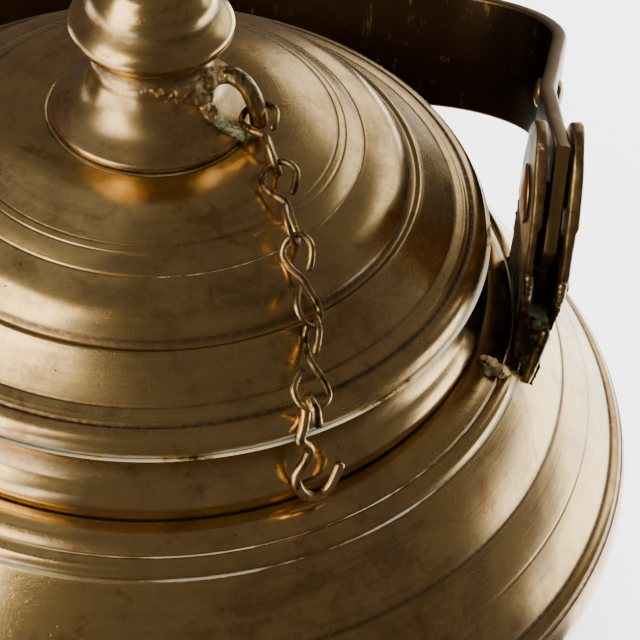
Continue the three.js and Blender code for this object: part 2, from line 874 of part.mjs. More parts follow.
// The hook: a small eye round its carrier, a bent shank and an open crook.
function chainHook() {
  const start = -(link_wire_radius + hook_wire_radius + fit_gap);
  const eye = hook_eye_shares.map(
    ([along_share, across_share, up_share]) =>
      new THREE.Vector3(
        start + along_share * hook_eye_radius,
        across_share * hook_width,
        up_share * hook_eye_radius,
      ),
  );
  const shank = hook_shank_shares.map(
    ([along_share, across_share, up_share]) =>
      new THREE.Vector3(along_share * hook_length, across_share * hook_width, up_share * hook_eye_radius),
  );
  return wire(new THREE.CatmullRomCurve3([...eye, ...shank]), hook_wire_radius, hook_steps);
}

// Turns a piece so that its +X runs along a direction and its +Z faces away from the kettle,
// then rolls it about that direction.
function aimed(mesh, place, direction, roll_degrees) {
  const along = direction.clone().normalize();
  const radial = new THREE.Vector3(place.x, place.y, 0).normalize();
  const sideways = new THREE.Vector3().crossVectors(
    radial.add(new THREE.Vector3(0, 0, 1)),
    along,
  ).normalize();
  const outward = new THREE.Vector3().crossVectors(along, sideways);
  mesh.quaternion.setFromRotationMatrix(new THREE.Matrix4().makeBasis(along, sideways, outward));
  mesh.rotateX(THREE.MathUtils.degToRad(roll_degrees));
  mesh.position.copy(place);
  return mesh;
}

function chain() {
  const pieces = [];
  let place = eye_curve.getPoint(eye_hang_share);
  let carrier_radius = eye_wire_radius;
  chain_turns_degrees.forEach((turn_degrees, i) => {
    const reach = link_length - carrier_radius - link_wire_radius - fit_gap;
    const next = layPoint(place, turn_degrees, reach);
    const link = brass(`chain_link_${i + 1}`, chainLink(carrier_radius), colours.pale_brass, 0.42);
    pieces.push(aimed(link, place, next.clone().sub(place), link_rolls_degrees[i]));
    place = next;
    carrier_radius = link_wire_radius;
  });
  const lean = THREE.MathUtils.degToRad(hook_lean_degrees);
  const outward = new THREE.Vector3(place.x, place.y, 0).setLength(Math.sin(lean));
  const hang = new THREE.Vector3(0, 0, -Math.cos(lean)).add(outward);
  const hook = brass("chain_hook", chainHook(), colours.pale_brass, 0.42);
  pieces.push(aimed(hook, place, hang, 0));
  return pieces;
}

// The assembly

const kettle = new THREE.Group();
kettle.name = "tea_kettle";

kettle.add(brass("base_plate", basePlate(), colours.dark_brass));
kettle.add(brass("body_lower", bodyLower(spoutPassage())));
kettle.add(brass("body_upper", bodyUpper()));
kettle.add(brass("mouth_collar", mouthCollar()));
kettle.add(brass("spout", spout()));
kettle.add(brass("spout_flange", spoutFlange(), colours.dark_brass));
kettle.add(brass("spout_lip", spoutLip()));

for (const [side, turn] of [["right", 0], ["left", Math.PI]]) {
  const ear = new THREE.Group();
  ear.rotation.z = turn;
  ear.add(brass(`ear_foot_${side}`, earFoot(), colours.verdigris, 0.7));
  ear.add(brass(`ear_inner_plate_${side}`, earPlate(ear_inner_face)));
  ear.add(brass(`ear_outer_plate_${side}`, earPlate(ear_outer_plate_face)));
  ear.add(brass(`ear_pin_${side}`, earPin(), colours.pale_brass));
  kettle.add(ear);
}

const bail = new THREE.Group();
bail.position.copy(pivot);
bail.rotation.x = -THREE.MathUtils.degToRad(bailRestDegrees());
bail.add(brass("bail_strap", bailStrap()));
for (const [side, mirror] of [["right", 1], ["left", -1]]) {
  const place = bailRivetPlace();
  const mesh = brass(`bail_rivet_${side}`, bailRivet(), colours.pale_brass);
  mesh.position.set(place.x * mirror, place.y, place.z);
  mesh.rotation.y = -place.lean * mirror;
  bail.add(mesh);
}
kettle.add(bail);

const lid = new THREE.Group();
lid.add(brass("lid_dome", lidDome()));
lid.add(brass("lid_skirt", lidSkirt(), colours.dark_brass));
lid.add(brass("knob", knob()));
lid.add(brass("knob_stud", knobStud(), colours.dark_brass));
lid.add(brass("knob_washer", knobWasher(), colours.dark_brass));
lid.add(brass("chain_eye", chainEye(), colours.verdigris, 0.6));
lid.add(...chain());
kettle.add(lid);

export default kettle;
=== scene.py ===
import json
import math

import bmesh
import bpy
from mathutils import Matrix, Vector, noise


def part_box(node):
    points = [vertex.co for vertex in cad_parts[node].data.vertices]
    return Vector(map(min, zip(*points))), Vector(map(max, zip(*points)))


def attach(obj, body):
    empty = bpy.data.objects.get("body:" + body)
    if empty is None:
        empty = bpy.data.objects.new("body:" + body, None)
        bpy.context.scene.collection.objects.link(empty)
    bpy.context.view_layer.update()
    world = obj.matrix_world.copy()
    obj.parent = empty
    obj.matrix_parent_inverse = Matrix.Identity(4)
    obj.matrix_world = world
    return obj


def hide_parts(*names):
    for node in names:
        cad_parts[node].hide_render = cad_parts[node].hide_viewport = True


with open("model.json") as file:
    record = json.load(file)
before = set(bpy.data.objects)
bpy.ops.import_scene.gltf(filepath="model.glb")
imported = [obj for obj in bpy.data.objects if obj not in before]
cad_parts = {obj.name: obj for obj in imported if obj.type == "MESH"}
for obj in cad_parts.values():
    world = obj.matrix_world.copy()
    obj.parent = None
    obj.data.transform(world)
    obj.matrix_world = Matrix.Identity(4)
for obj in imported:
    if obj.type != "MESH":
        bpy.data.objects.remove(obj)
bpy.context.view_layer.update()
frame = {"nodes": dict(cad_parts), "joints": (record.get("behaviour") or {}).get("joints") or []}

millimetre = 0.001

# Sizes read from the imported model


def node_box(name):
    low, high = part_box(name)
    return low / millimetre, high / millimetre


def joint_named(name):
    return next(joint for joint in frame["joints"] if joint["name"] == name)


def joint_place(name):
    return Vector(joint_named(name)["pos_m"]) / millimetre


base_low, base_high = node_box("base_plate")
bowl_low, bowl_high = node_box("body_lower")
shoulder_low, shoulder_high = node_box("body_upper")
collar_low, collar_high = node_box("mouth_collar")
lid_low, lid_high = node_box("lid_dome")
skirt_low, skirt_high = node_box("lid_skirt")
knob_low, knob_high = node_box("knob")
stud_low, stud_high = node_box("knob_stud")
washer_low, washer_high = node_box("knob_washer")
inner_plate_low, inner_plate_high = node_box("ear_inner_plate_right")
outer_plate_low, outer_plate_high = node_box("ear_outer_plate_right")

# Sizes shared with the model that its boxes don't tell
fit_gap = 0.3
skirt_clearance = 0.6
mouth_radius = skirt_high.x + skirt_clearance
base_edge = 1.6
shoulder_wall = 2.4
bowl_wall = 2.2
lid_wall = 1.8
skirt_wall = 1.6
skirt_edge_in = 0.4
skirt_edge_up = 0.6
stud_radius = 4
stud_head_height = 3
washer_edge = 0.3
knob_hole = stud_radius + fit_gap
knob_ring_radius = 18.9
pin_radius = 3
pin_head_radius = 7.2
pin_head_height = 1.1
bail_width = 32.9
bail_thickness = 3.9
bail_end_length = 12
bail_straight = 31
bail_lean_degrees = 8.5
bail_lean_run = 43
bail_bend_radius = 20
bail_corner_radius = 32.8
bail_top_radius = 432
bail_rest_degrees = 109.7
bail_rivet_radius = 2
bail_rivet_head_radius = 3.8
bail_rivet_head_height = 1.5
bail_rivet_across = 8.5
bail_rivet_run_share = 0.42
spout_root_radius = 19
spout_tip_radius = 8.6
spout_wall = 1.9
spout_root_height = 60
spout_tip_height = 151
spout_reach = 199
spout_inset = 12
spout_start_inset = 1.2
spout_taper_power = 1.35
spout_lip_share = 0.965
lip_height = 4.2
lip_flare = 1.9
flange_edge = 0.5
eye_wire_radius = 2.1
eye_turn_degrees = -14
link_wire_radius = 0.7
link_wire_drawn = 0.85  # the wire as the photograph shows it, but where the links wear
link_wire_worn = 0.13
link_length = 20.4
link_width = 8
link_rolls_degrees = [57, 50, 66, 94]
hook_wire_radius = 1.05
hook_wire_drawn = 1.2
hook_length = 24
hook_width = 11
hook_eye_radius = 2.6
hook_lean_degrees = 11

# Unevenness of hand work: how far it goes, and its waves for each millimetre
turning_wobble = 0.12
small_wobble = 0.02
rivet_wobble = 0.05
wobble_waves = 0.03
strap_dent = 0.15
strap_waves = 0.06
plate_dent = 0.25
plate_dent_middle = 0.12
plate_waves = 0.12
edge_wear = 0.35
edge_wear_middle = 0.2
edge_waves = 0.25
lump_waves = ((1, 0.5), (0.6, 1.3))
foot_waves = ((0.25, 0.35), (0.15, 1.1))
foot_settling = 0.15
eye_dent_share = 0.06
link_dent_share = 0.03
hook_dent_share = 0.04
dents_along_wire = 9

# Fineness of the meshes
ring_segments = 320
small_ring_segments = 128
rivet_segments = 48
rivet_head_steps = 8
profile_step = 0.4
bowl_step = 0.8
strap_step = 1.0
profile_smoothing_passes = 3
groove_reach = 1.5
groove_steps = 3
lid_inner_skip = 6
tube_sides = 16
tube_step = 0.5
eye_steps = 40
spout_path_steps = 200
spout_rings = 90
corner_steps = 4
sharp_degrees = 50

# Outlines, as shares of a radius and of a height, from the inside out and from the top
# down. The third share is the rise of the arc that leads to the point, over its chord.
shoulder_line_shares = [
    (0.652, 1, 0),
    (0.7215, 0.931, 0.12),
    (0.7532, 0.854, 0.18),
    (0.8405, 0.511, 0.02),
    (0.9615, 0.066, 0.02),
    (0.9898, 0, 0.12),
]
bowl_line_shares = [
    (0.9898, 1),
    (1, 0.895),
    (0.97, 0.695),
    (0.899, 0.483),
    (0.788, 0.282),
    (0.66, 0.108),
    (0.54, 0),
]
collar_line_shares = [
    (1.002, 1, 0),
    (0.977, 0.79, -0.1),
    (0.984, 0.5, -0.06),
    (1, 0, 0.17),
]
lid_line_shares = [
    (0.292, 1, 0),
    (0.537, 0.87, 0.05),
    (0.612, 0.761, 0.04),
    (0.758, 0.502, 0.12),
    (0.768, 0.455, 0),
    (0.8, 0.433, 0.22),
    (0.894, 0.213, -0.02),
    (0.947, 0.168, 0.03),
    (1, 0, 0.2),
]
knob_line_shares = [
    (0, 1, 0),
    (0.335, 0.81, 0.4),
    (0.4, 0.76, -0.12),
    (0.66, 0.68, 0.14),
    (0.775, 0.583, 0.1),
    (0.765, 0.385, 0.43),
    (0.7, 0.33, -0.12),
    (0.75, 0.25, 0.08),
    (1.24, 0.026, -0.17),
    (1.24, 0, 0),
]
spout_path_shares = [(0, 0), (0.69, 0), (0.42, 0.77), (1, 1)]
lip_outer_shares = [(0, 0), (1, 0.45), (1, 0.8), (0.5, 1)]
lip_inner_shares = [(0.4, 1), (0, 0)]
stud_head_line_shares = [(0.7, 0), (1, 0.6), (1, 1)]
eye_line_shares = [(0.9, 0.272), (1.12, 0.31), (1.34, 0.2), (1.37, 0.02)]
loop_shares = [
    (0.13, 0.42),
    (0.36, 0.82),
    (0.66, 1),
    (0.92, 0.62),
    (1, 0),
    (0.92, -0.62),
    (0.66, -1),
    (0.34, -0.66),
]
hook_eye_shares = [
    (2.15, 0.08, 0.62),
    (1.35, 0, 1),
    (0.4, 0, 0.8),
    (0, 0, 0),
    (0.4, 0, -0.8),
    (1.45, 0, -0.95),
]
hook_shank_shares = [
    (0.2, -0.14, -0.35),
    (0.31, -0.26, 0),
    (0.44, -0.08, 0),
    (0.56, -0.18, 0),
    (0.7, -0.4, 0),
    (0.88, -0.3, 0),
    (1, 0, 0),
    (0.95, 0.3, 0),
    (0.8, 0.5, 0),
    (0.7, 0.6, 0),
]

# Turned grooves: radius, depth, width, how much pale residue they hold and how much grime and painted
# shade darken them.
# A negative depth stands proud.
lid_grooves = [
    (24.1, 0.18, 0.3, 0.55, 0.5),
    (43.2, 0.12, 0.22, 0, 0.7),
    (45.0, 0.16, 0.22, 0.3, 0.3),
    (49.4, 0.16, 0.2, 0.5, 0.5),
    (61.3, 0.2, 0.3, 0.2, 0.8),
    (63.2, -0.25, 0.5, 0, 0),
    (69.5, 0, 4, 0, 0.22),
    (72.2, 0.16, 0.22, 0, 0.6),
    (74.6, -0.1, 0.4, 0, 0),
    (76.4, 0.3, 0.38, 0.2, 1.0),
    (80.75, 0.1, 0.2, 0.85, 0.4),
]
collar_grooves = [
    (78.9, 0.22, 0.3, 0, 0.7),
]
shoulder_grooves = [
    (80.9, 0.2, 0.5, 0, 1.0),
    (89.1, 0.3, 0.25, 0.7, 0.6),
    (93.0, 0.25, 0.22, 0.75, 0.6),
    (103.8, 0.2, 0.25, 0.1, 0.8),
    (111.5, 0.06, 0.2, 0, 0.3),
    (118.7, 0.25, 0.3, 0, 0.9),
    (122.0, 0.25, 0.3, 0, 0.9),
]

# Mesh helpers


def finished(name, mesh_data, body, material, nodes=()):
    mesh_data.name = name
    mesh_data.shade_smooth()
    mesh_data.set_sharp_from_angle(angle=math.radians(sharp_degrees))
    piece = bpy.data.objects.new(name, mesh_data)
    bpy.context.scene.collection.objects.link(piece)
    piece.data.materials.append(material)
    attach(piece, body)
    if nodes:
        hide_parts(*nodes)


def finished_node(node, mesh_data, body, material):
    """The fine piece that stands for a node."""
    finished(node + "_fine", mesh_data, body, material, [node])


def set_marks(mesh_data, marks):
    """Residue, grime with painted shade, and, where there is any, wear for each point."""
    for channel, name in enumerate(("residue", "grime_and_shade", "wear")):
        attribute = mesh_data.attributes.new(name, "FLOAT", "POINT")
        values = [mark[channel] if channel < len(mark) else 0.0 for mark in marks]
        attribute.data.foreach_set("value", values)


def mark_all(mesh_data, residue, grime_and_shade):
    set_marks(mesh_data, [(residue, grime_and_shade)] * len(mesh_data.vertices))


def mesh_of(points, faces, marks=None):
    """A mesh from points in millimetres."""
    mesh_data = bpy.data.meshes.new("shape")
    mesh_data.from_pydata([point * millimetre for point in points], [], faces)
    work = bmesh.new()
    work.from_mesh(mesh_data)
    bmesh.ops.recalc_face_normals(work, faces=work.faces)
    work.to_mesh(mesh_data)
    work.free()
    set_marks(mesh_data, marks or [(0, 0)] * len(points))
    return mesh_data


def skin(sections, marks=None, joined=False, capped=True):
    """A mesh over sections, which are rings of points or single points. The last section joins
    the first, or the ends are capped, or they close by themselves. Each section has one mark,
    or a list of marks for its points."""
    points, point_marks, rings = [], [], []
    for section, mark in zip(sections, marks or [(0, 0)] * len(sections)):
        rings.append(range(len(points), len(points) + len(section)))
        points += section
        point_marks += mark if isinstance(mark, list) else [mark] * len(section)
    pairs = list(zip(rings, rings[1:]))
    if joined:
        pairs.append((rings[-1], rings[0]))
    faces = []
    for low, high in pairs:
        count = max(len(low), len(high))
        for k in range(count if count > 1 else 0):
            spots = [(low, k), (low, k + 1), (high, k + 1), (high, k)]
            corners = [ring[spot % len(ring)] for ring, spot in spots]
            faces.append(tuple(dict.fromkeys(corners)))
    if capped and not joined:
        faces += [tuple(reversed(rings[0])), tuple(rings[-1])]
    return mesh_of(points, faces, point_marks)


def outline_of(*pairs):
    return [Vector(pair) for pair in pairs]


def nearness(value, places, spread):
    """1 at the nearest of some places, falling off in a bell about as wide as the spread."""
    return max(math.exp(-(((value - place) / spread) ** 2)) for place in places)


def moulding(line_shares, radius, height, base):
    """A dense outline from shares, with its arcs drawn out and its corners eased."""
    corners = [Vector((across * radius, base + up * height)) for across, up, _ in line_shares]
    points = [corners[0]]
    for i in range(1, len(corners)):
        chord = corners[i] - corners[i - 1]
        outward = Vector((-chord.y, chord.x))
        steps = max(2, math.ceil(chord.length / profile_step))
        for step in range(1, steps + 1):
            along = step / steps
            bulge = line_shares[i][2] * math.sin(math.pi * along)
            points.append(corners[i - 1] + chord * along + outward * bulge)
    for _ in range(profile_smoothing_passes):
        trios = zip(points, points[1:], points[2:])
        points[1:-1] = [(before + point * 2 + after) / 4 for before, point, after in trios]
    return points


def spline(points, step):
    """A smooth line through points of any dimension, with an even step."""
    line = []
    for i in range(len(points) - 1):
        before = points[max(i - 1, 0)]
        start, end = points[i], points[i + 1]
        after = points[min(i + 2, len(points) - 1)]
        steps = max(2, math.ceil((end - start).length / step))
        for k in range(steps):
            t = k / steps
            first = (end - before) * t
            second = (before * 2 - start * 5 + end * 4 - after) * t**2
            third = (start * 3 - before - end * 3 + after) * t**3
            line.append((start * 2 + first + second + third) / 2)
    line.append(points[-1].copy())
    return line


def bezier(points, steps):
    line = []
    for i in range(steps + 1):
        t = i / steps
        weights = ((1 - t) ** 3, 3 * t * (1 - t) ** 2, 3 * t**2 * (1 - t), t**3)
        line.append(sum((point * w for point, w in zip(points, weights)), Vector((0, 0, 0))))
    return line


def lengths_along(points):
    lengths = [0.0]
    for a, b in zip(points, points[1:]):
        lengths.append(lengths[-1] + (b - a).length)
    return lengths


def even_line(points, count):
    """The same line with points evenly along it."""
    lengths = lengths_along(points)
    line = []
    i = 0
    for k in range(count + 1):
        target = lengths[-1] * k / count
        while i < len(points) - 2 and lengths[i + 1] < target:
            i += 1
        share = (target - lengths[i]) / (lengths[i + 1] - lengths[i])
        line.append(points[i].lerp(points[i + 1], share))
    return line


def line_normal(points, i):
    along = (points[min(i + 1, len(points) - 1)] - points[max(i - 1, 0)]).normalized()
    return Vector((-along.y, along.x))


def offset_line(points, distance):
    return [point + line_normal(points, i) * distance for i, point in enumerate(points)]


def refined(points, grooves):
    """The outline with more points near its grooves."""
    line = []
    for a, b in zip(points, points[1:]):
        near = any(abs(a.x - groove[0]) < groove_reach for groove in grooves)
        count = groove_steps if near else 1
        line += [a.lerp(b, k / count) for k in range(count)]
    return [*line, points[-1]]


def grooved(points, grooves):
    """The outline with its turned grooves, and the residue, and the grime with painted shade, along it."""
    points = refined(points, grooves)
    moved, marks = [], []
    for i, point in enumerate(points):
        depth = residue = grime_and_shade = 0.0
        for radius, groove_depth, width, groove_residue, groove_grime_and_shade in grooves:
            fall = nearness(point.x, [radius], width)
            depth += groove_depth * fall
            residue += groove_residue * fall
            grime_and_shade += groove_grime_and_shade * nearness(point.x, [radius], width * 2)
        moved.append(point - line_normal(points, i) * depth)
        marks.append((min(residue, 1.0), min(grime_and_shade, 1.0)))
    return moved, marks


def turned(outline, marks=None, segments=ring_segments, wobble=turning_wobble, closed=True):
    """A solid turned about the kettle's axis, uneven by a little as hand work is. An outline
    that isn't closed starts and ends on the axis."""
    sections = []
    for radius, height in outline:
        rise = Vector((0, 0, height))
        if radius < profile_step / 10:
            sections.append([rise])
            continue
        ring = []
        for k in range(segments):
            spoke = around_axis(1, 0, math.tau * k / segments)
            place = spoke * radius + rise
            push = wobble * noise.noise(place * wobble_waves)
            ring.append(place - spoke * (wobble / 2 - push / 2))
        sections.append(ring)
    return skin(sections, marks, closed, False)


def around_axis(radius, height, angle):
    return Vector((radius * math.cos(angle), radius * math.sin(angle), height))


def half_turned(mesh_data, sign):
    """The mesh for the left side, where the sign is negative, from the right side's."""
    if sign < 0:
        mesh_data.transform(Matrix.Rotation(math.pi, 4, "Z"))
    return mesh_data


def swept(path, section_at, marks_at=None):
    """A closed skin over sections carried along a path without twist. section_at gives the
    section's points, across and up, for a place along the path from 0 to 1."""
    sections, marks = [], []
    side = (path[1] - path[0]).normalized().orthogonal().normalized()
    for i, place in enumerate(path):
        tangent = (path[min(i + 1, len(path) - 1)] - path[max(i - 1, 0)]).normalized()
        side = (side - tangent * side.dot(tangent)).normalized()
        up = tangent.cross(side)
        share = i / (len(path) - 1)
        sections.append([place + side * across + up * rise for across, rise in section_at(share)])
        marks.append(marks_at(share) if marks_at else (0, 0))
    return skin(sections, marks)


def round_section(radius_at, dent):
    """A hand-drawn wire's section: round, with its radius uneven along the wire."""

    def section(share):
        ring = []
        for k in range(tube_sides):
            spoke = around_axis(1, 0, math.tau * k / tube_sides).xy
            uneven = 1 + dent * noise.noise(Vector((share * dents_along_wire, *spoke)))
            ring.append(spoke * radius_at(share) * uneven)
        return ring

    return section


def tapered_ends(radius, end_share):
    """A radius that rounds off over a share of the wire at each end."""

    def radius_at(share):
        to_end = min(share, 1 - share) / end_share
        return radius * math.sqrt(max(0.02, 1 - max(0.0, 1 - to_end) ** 2))

    return radius_at


def unevenness(place, waves):
    """The sum of noises, each a reach and its waves."""
    return sum(reach * noise.noise(place * per_millimetre) for reach, per_millimetre in waves)


def with_modifiers(mesh_data, modifiers):
    """The mesh after a list of modifiers, each a kind and its settings."""
    piece = bpy.data.objects.new("work", mesh_data)
    bpy.context.scene.collection.objects.link(piece)
    for kind, settings in modifiers:
        modifier = piece.modifiers.new(kind.lower(), kind)
        for key, value in settings.items():
            setattr(modifier, key, value)
    bpy.context.view_layer.update()
    graph = bpy.context.evaluated_depsgraph_get()
    result = bpy.data.meshes.new_from_object(piece.evaluated_get(graph))
    bpy.data.objects.remove(piece)
    return result


def melted(mesh_data, voxel, passes):
    """The mesh with its parts run together and its edges rounded."""
    remesh = {"mode": "VOXEL", "voxel_size": voxel * millimetre, "use_smooth_shade": True}
    return with_modifiers(
        mesh_data, [("REMESH", remesh), ("SMOOTH", {"factor": 0.5, "iterations": passes})]
    )


def copied(node):
    """A copy of a node's mesh, to be reworked as its own piece."""
    mesh_data = frame["nodes"][node].data.copy()
    mesh_data.materials.clear()
    return mesh_data


# Materials

# Noises of the finish: grain in millimetres, detail, roughness and distortion
noises = {
    "clouds": (42, 3, 0.6, 0.6),
    "mottle": (8, 5, 0.65, 0.5),
    "specks": (1.1, 3, 0.65, 0),
    "streaks": (2.2, 4, 0.7, 0),
    "fine_marks": (0.5, 2, 0.6, 0),
    "torn": (2.2, 4, 0.7, 0),
    "haze": (26, 4, 0.7, 0.4),
    "redness": (15, 4, 0.7, 1),
    "patches": (24, 2, 0.5, 0),
    "growth": (7, 6, 0.75, 0.5),
    "crumbs": (1.3, 4, 0.7, 0),
    "hairs": (0.4, 2, 0.5, 0.6),
    "waves": (18, 2, 0.5, 0),
    "floor": (160, 2, 0.55, 0),
}
pit_spacing = 3.1
pepper_spacing = 0.9
wave_depth = 0.16
streak_depth = 0.022
fine_mark_depth = 0.007
pit_depth = 0.03
hair_depth = 0.0025
crust_depth = 0.5
hair_turns_degrees = (25, 100, 155)
hair_stretch = (1.0, 0.04, 0.3)
along_strap = (1.0, 0.25, 0.07)
ring_drift = 0.02


class Surface:
    """A node material, with short calls for the nodes that the finishes share."""

    def __init__(self, name):
        self.material = bpy.data.materials.new(name)
        self.material.use_nodes = True
        self.tree = self.material.node_tree
        self.shader = self.tree.nodes["Principled BSDF"]
        self.place = self.node("TexCoord").outputs["Object"]

    def node(self, kind):
        return self.tree.nodes.new("ShaderNode" + kind)

    def put(self, value, socket):
        if isinstance(value, bpy.types.NodeSocket):
            self.tree.links.new(value, socket)
        else:
            socket.default_value = value

    def sum(self, operation, first, second=0.0, third=0.0):
        made = self.node("Math")
        made.operation = operation
        for value, socket in zip((first, second, third), made.inputs):
            self.put(value, socket)
        return made.outputs[0]

    def weighted(self, *terms):
        """The sum of values, each times its weight."""
        total = 0.0
        for value, weight in terms:
            total = self.sum("MULTIPLY_ADD", value, weight, total)
        return total

    def noise(self, kind, vector=None):
        grain, detail, roughness, distortion = noises[kind]
        made = self.node("TexNoise")
        self.put(vector or self.place, made.inputs["Vector"])
        made.inputs["Scale"].default_value = 1 / (grain * millimetre)
        made.inputs["Detail"].default_value = detail
        made.inputs["Roughness"].default_value = roughness
        made.inputs["Distortion"].default_value = distortion
        return made.outputs["Fac"]

    def cells(self, spacing):
        """How far a place is from the nearest of scattered points."""
        made = self.node("TexVoronoi")
        self.put(self.place, made.inputs["Vector"])
        made.inputs["Scale"].default_value = 1 / (spacing * millimetre)
        return made.outputs["Distance"]

    def steps(self, value, low, high, low_out=0.0, high_out=1.0):
        """A smooth ramp of a value between two marks."""
        made = self.node("MapRange")
        made.interpolation_type = "SMOOTHSTEP"
        names = ("Value", "From Min", "From Max", "To Min", "To Max")
        for name, setting in zip(names, (value, low, high, low_out, high_out)):
            self.put(setting, made.inputs[name])
        return made.outputs["Result"]

    def blend(self, share, first, second, kind="FLOAT", sockets=(2, 3, 0)):
        """From one value to another by a share. The sockets are the kind's own."""
        made = self.node("Mix")
        made.data_type = kind
        self.put(share, made.inputs["Factor"])
        self.put(first, made.inputs[sockets[0]])
        self.put(second, made.inputs[sockets[1]])
        return made.outputs[sockets[2]]

    def mix(self, share, first, second):
        """The same for colours."""
        return self.blend(share, first, second, "RGBA", (6, 7, 2))

    def mark(self, name):
        made = self.node("Attribute")
        made.attribute_name = name
        return made.outputs["Fac"]

    def along_rings(self):
        """Coordinates that change across turned rings and hardly along them."""
        split = self.node("SeparateXYZ")
        self.put(self.place, split.inputs[0])
        x, y, z = split.outputs
        squares = self.sum("ADD", self.sum("POWER", x, 2.0), self.sum("POWER", y, 2.0))
        join = self.node("CombineXYZ")
        self.put(self.sum("MULTIPLY_ADD", x, ring_drift, self.sum("SQRT", squares)), join.inputs[0])
        self.put(self.sum("MULTIPLY", y, ring_drift), join.inputs[1])
        self.put(z, join.inputs[2])
        return join.outputs[0]

    def stretched(self, scale, turn_degrees=0):
        """Object coordinates turned about the kettle's axis, then scaled along each axis."""
        made = self.node("Mapping")
        made.vector_type = "TEXTURE"
        self.put(self.place, made.inputs["Vector"])
        made.inputs["Rotation"].default_value.z = math.radians(turn_degrees)
        made.inputs["Scale"].default_value = [1 / value for value in scale]
        return made.outputs[0]

    def bump(self, height, depth, under=None):
        made = self.node("Bump")
        made.inputs["Strength"].default_value = 1.0
        made.inputs["Distance"].default_value = depth * millimetre
        self.put(height, made.inputs["Height"])
        if under is not None:
            self.put(under, made.inputs["Normal"])
        return made.outputs["Normal"]


gold = (0.72, 0.51, 0.21, 1)
tan = (0.52, 0.355, 0.14, 1)
umber = (0.25, 0.155, 0.06, 1)
mauve = (0.36, 0.25, 0.19, 1)
copper = (0.42, 0.20, 0.085, 1)
soot_and_shade = (0.02, 0.013, 0.008, 1)
wine = (0.055, 0.028, 0.024, 1)
chalk = (0.17, 0.17, 0.125, 1)
verdigris = (0.05, 0.075, 0.036, 1)
floor_white = (0.84, 0.84, 0.855, 1)
floor_light = (0.865, 0.865, 0.875, 1)
room_dusk = (0.33, 0.275, 0.23, 1)


def tarnished(surface, worn, tarnish, redness):
    """Gold, browned by age, with a dull haze and copper-red patches."""
    base = surface.mix(surface.steps(worn, 0.55, 0.82), gold, tan)
    brown = surface.steps(worn, 0.92 - tarnish * 0.42, 1.05 - tarnish * 0.3, 0.0, 0.65)
    base = surface.mix(brown, base, umber)
    haze = surface.steps(surface.noise("haze"), 0.48, 0.7, 0.0, 0.4)
    base = surface.mix(haze, base, mauve)
    red_start = 0.73 - redness * 0.35
    red = surface.steps(surface.noise("redness"), red_start, red_start + 0.15, 0.0, 0.75)
    return surface.mix(red, base, copper)


def blackened(surface, base, streaks, mottle, smut_and_shade):
    """Black smears, except where the metal is worn. Where they are heavy, as on the strap, they are
    painted shade.
    """
    blackening = surface.weighted((mottle, 0.7), (streaks, 0.6))
    black = surface.steps(blackening, 0.75 - smut_and_shade * 0.25, 0.9 - smut_and_shade * 0.25, 0.0, 0.92)
    kept = surface.sum("MULTIPLY_ADD", surface.mark("wear"), -0.85, 1.0)
    return surface.mix(surface.sum("MULTIPLY", black, kept), base, soot_and_shade)


def pitting(surface, mottle, torn):
    """Single pits in the mottled places and peppered ones in the torn places."""
    single = surface.steps(surface.cells(pit_spacing), 0.05, 0.1, 1.0, 0.0)
    single = surface.sum("MULTIPLY", single, surface.steps(mottle, 0.5, 0.6))
    peppered = surface.steps(surface.cells(pepper_spacing), 0.08, 0.2, 0.5, 0.0)
    peppered = surface.sum("MULTIPLY", peppered, surface.steps(torn, 0.5, 0.6))
    return surface.sum("MAXIMUM", single, peppered)


def chalky_residue(surface, torn):
    """Where pale residue is left, broken up where it is thin."""
    patchy = surface.steps(surface.noise("patches"), 0.3, 0.62, 0.5, 1.0)
    kept = surface.sum("MULTIPLY", surface.mark("residue"), patchy)
    return surface.steps(surface.weighted((kept, 1.0), (torn, 0.5)), 0.62, 0.98, 0.0, 0.85)


def crusted(surface, base, crust):
    """Verdigris with pale crumbs over the colour, and where it has grown."""
    grown = surface.steps(surface.noise("growth"), 0.64 - crust * 0.22, 0.74 - crust * 0.16, 0.0, 0.9)
    crumb_start = 0.62 - crust * 0.09
    crumbs = surface.steps(surface.noise("crumbs"), crumb_start, crumb_start + 0.12)
    return surface.mix(grown, base, surface.mix(crumbs, verdigris, chalk)), grown


def relief(surface, streaks, fine_marks, pits):
    """The hammered waves, turning marks, pits and hair scratches, as one normal."""
    normal = surface.bump(surface.noise("waves"), wave_depth)
    normal = surface.bump(streaks, streak_depth, normal)
    normal = surface.bump(fine_marks, fine_mark_depth, normal)
    normal = surface.bump(surface.sum("MULTIPLY", pits, -1.0), pit_depth, normal)
    for turn_degrees in hair_turns_degrees:
        hairs = surface.noise("hairs", surface.stretched(hair_stretch, turn_degrees))
        normal = surface.bump(surface.steps(hairs, 0.64, 0.7), hair_depth, normal)
    return normal


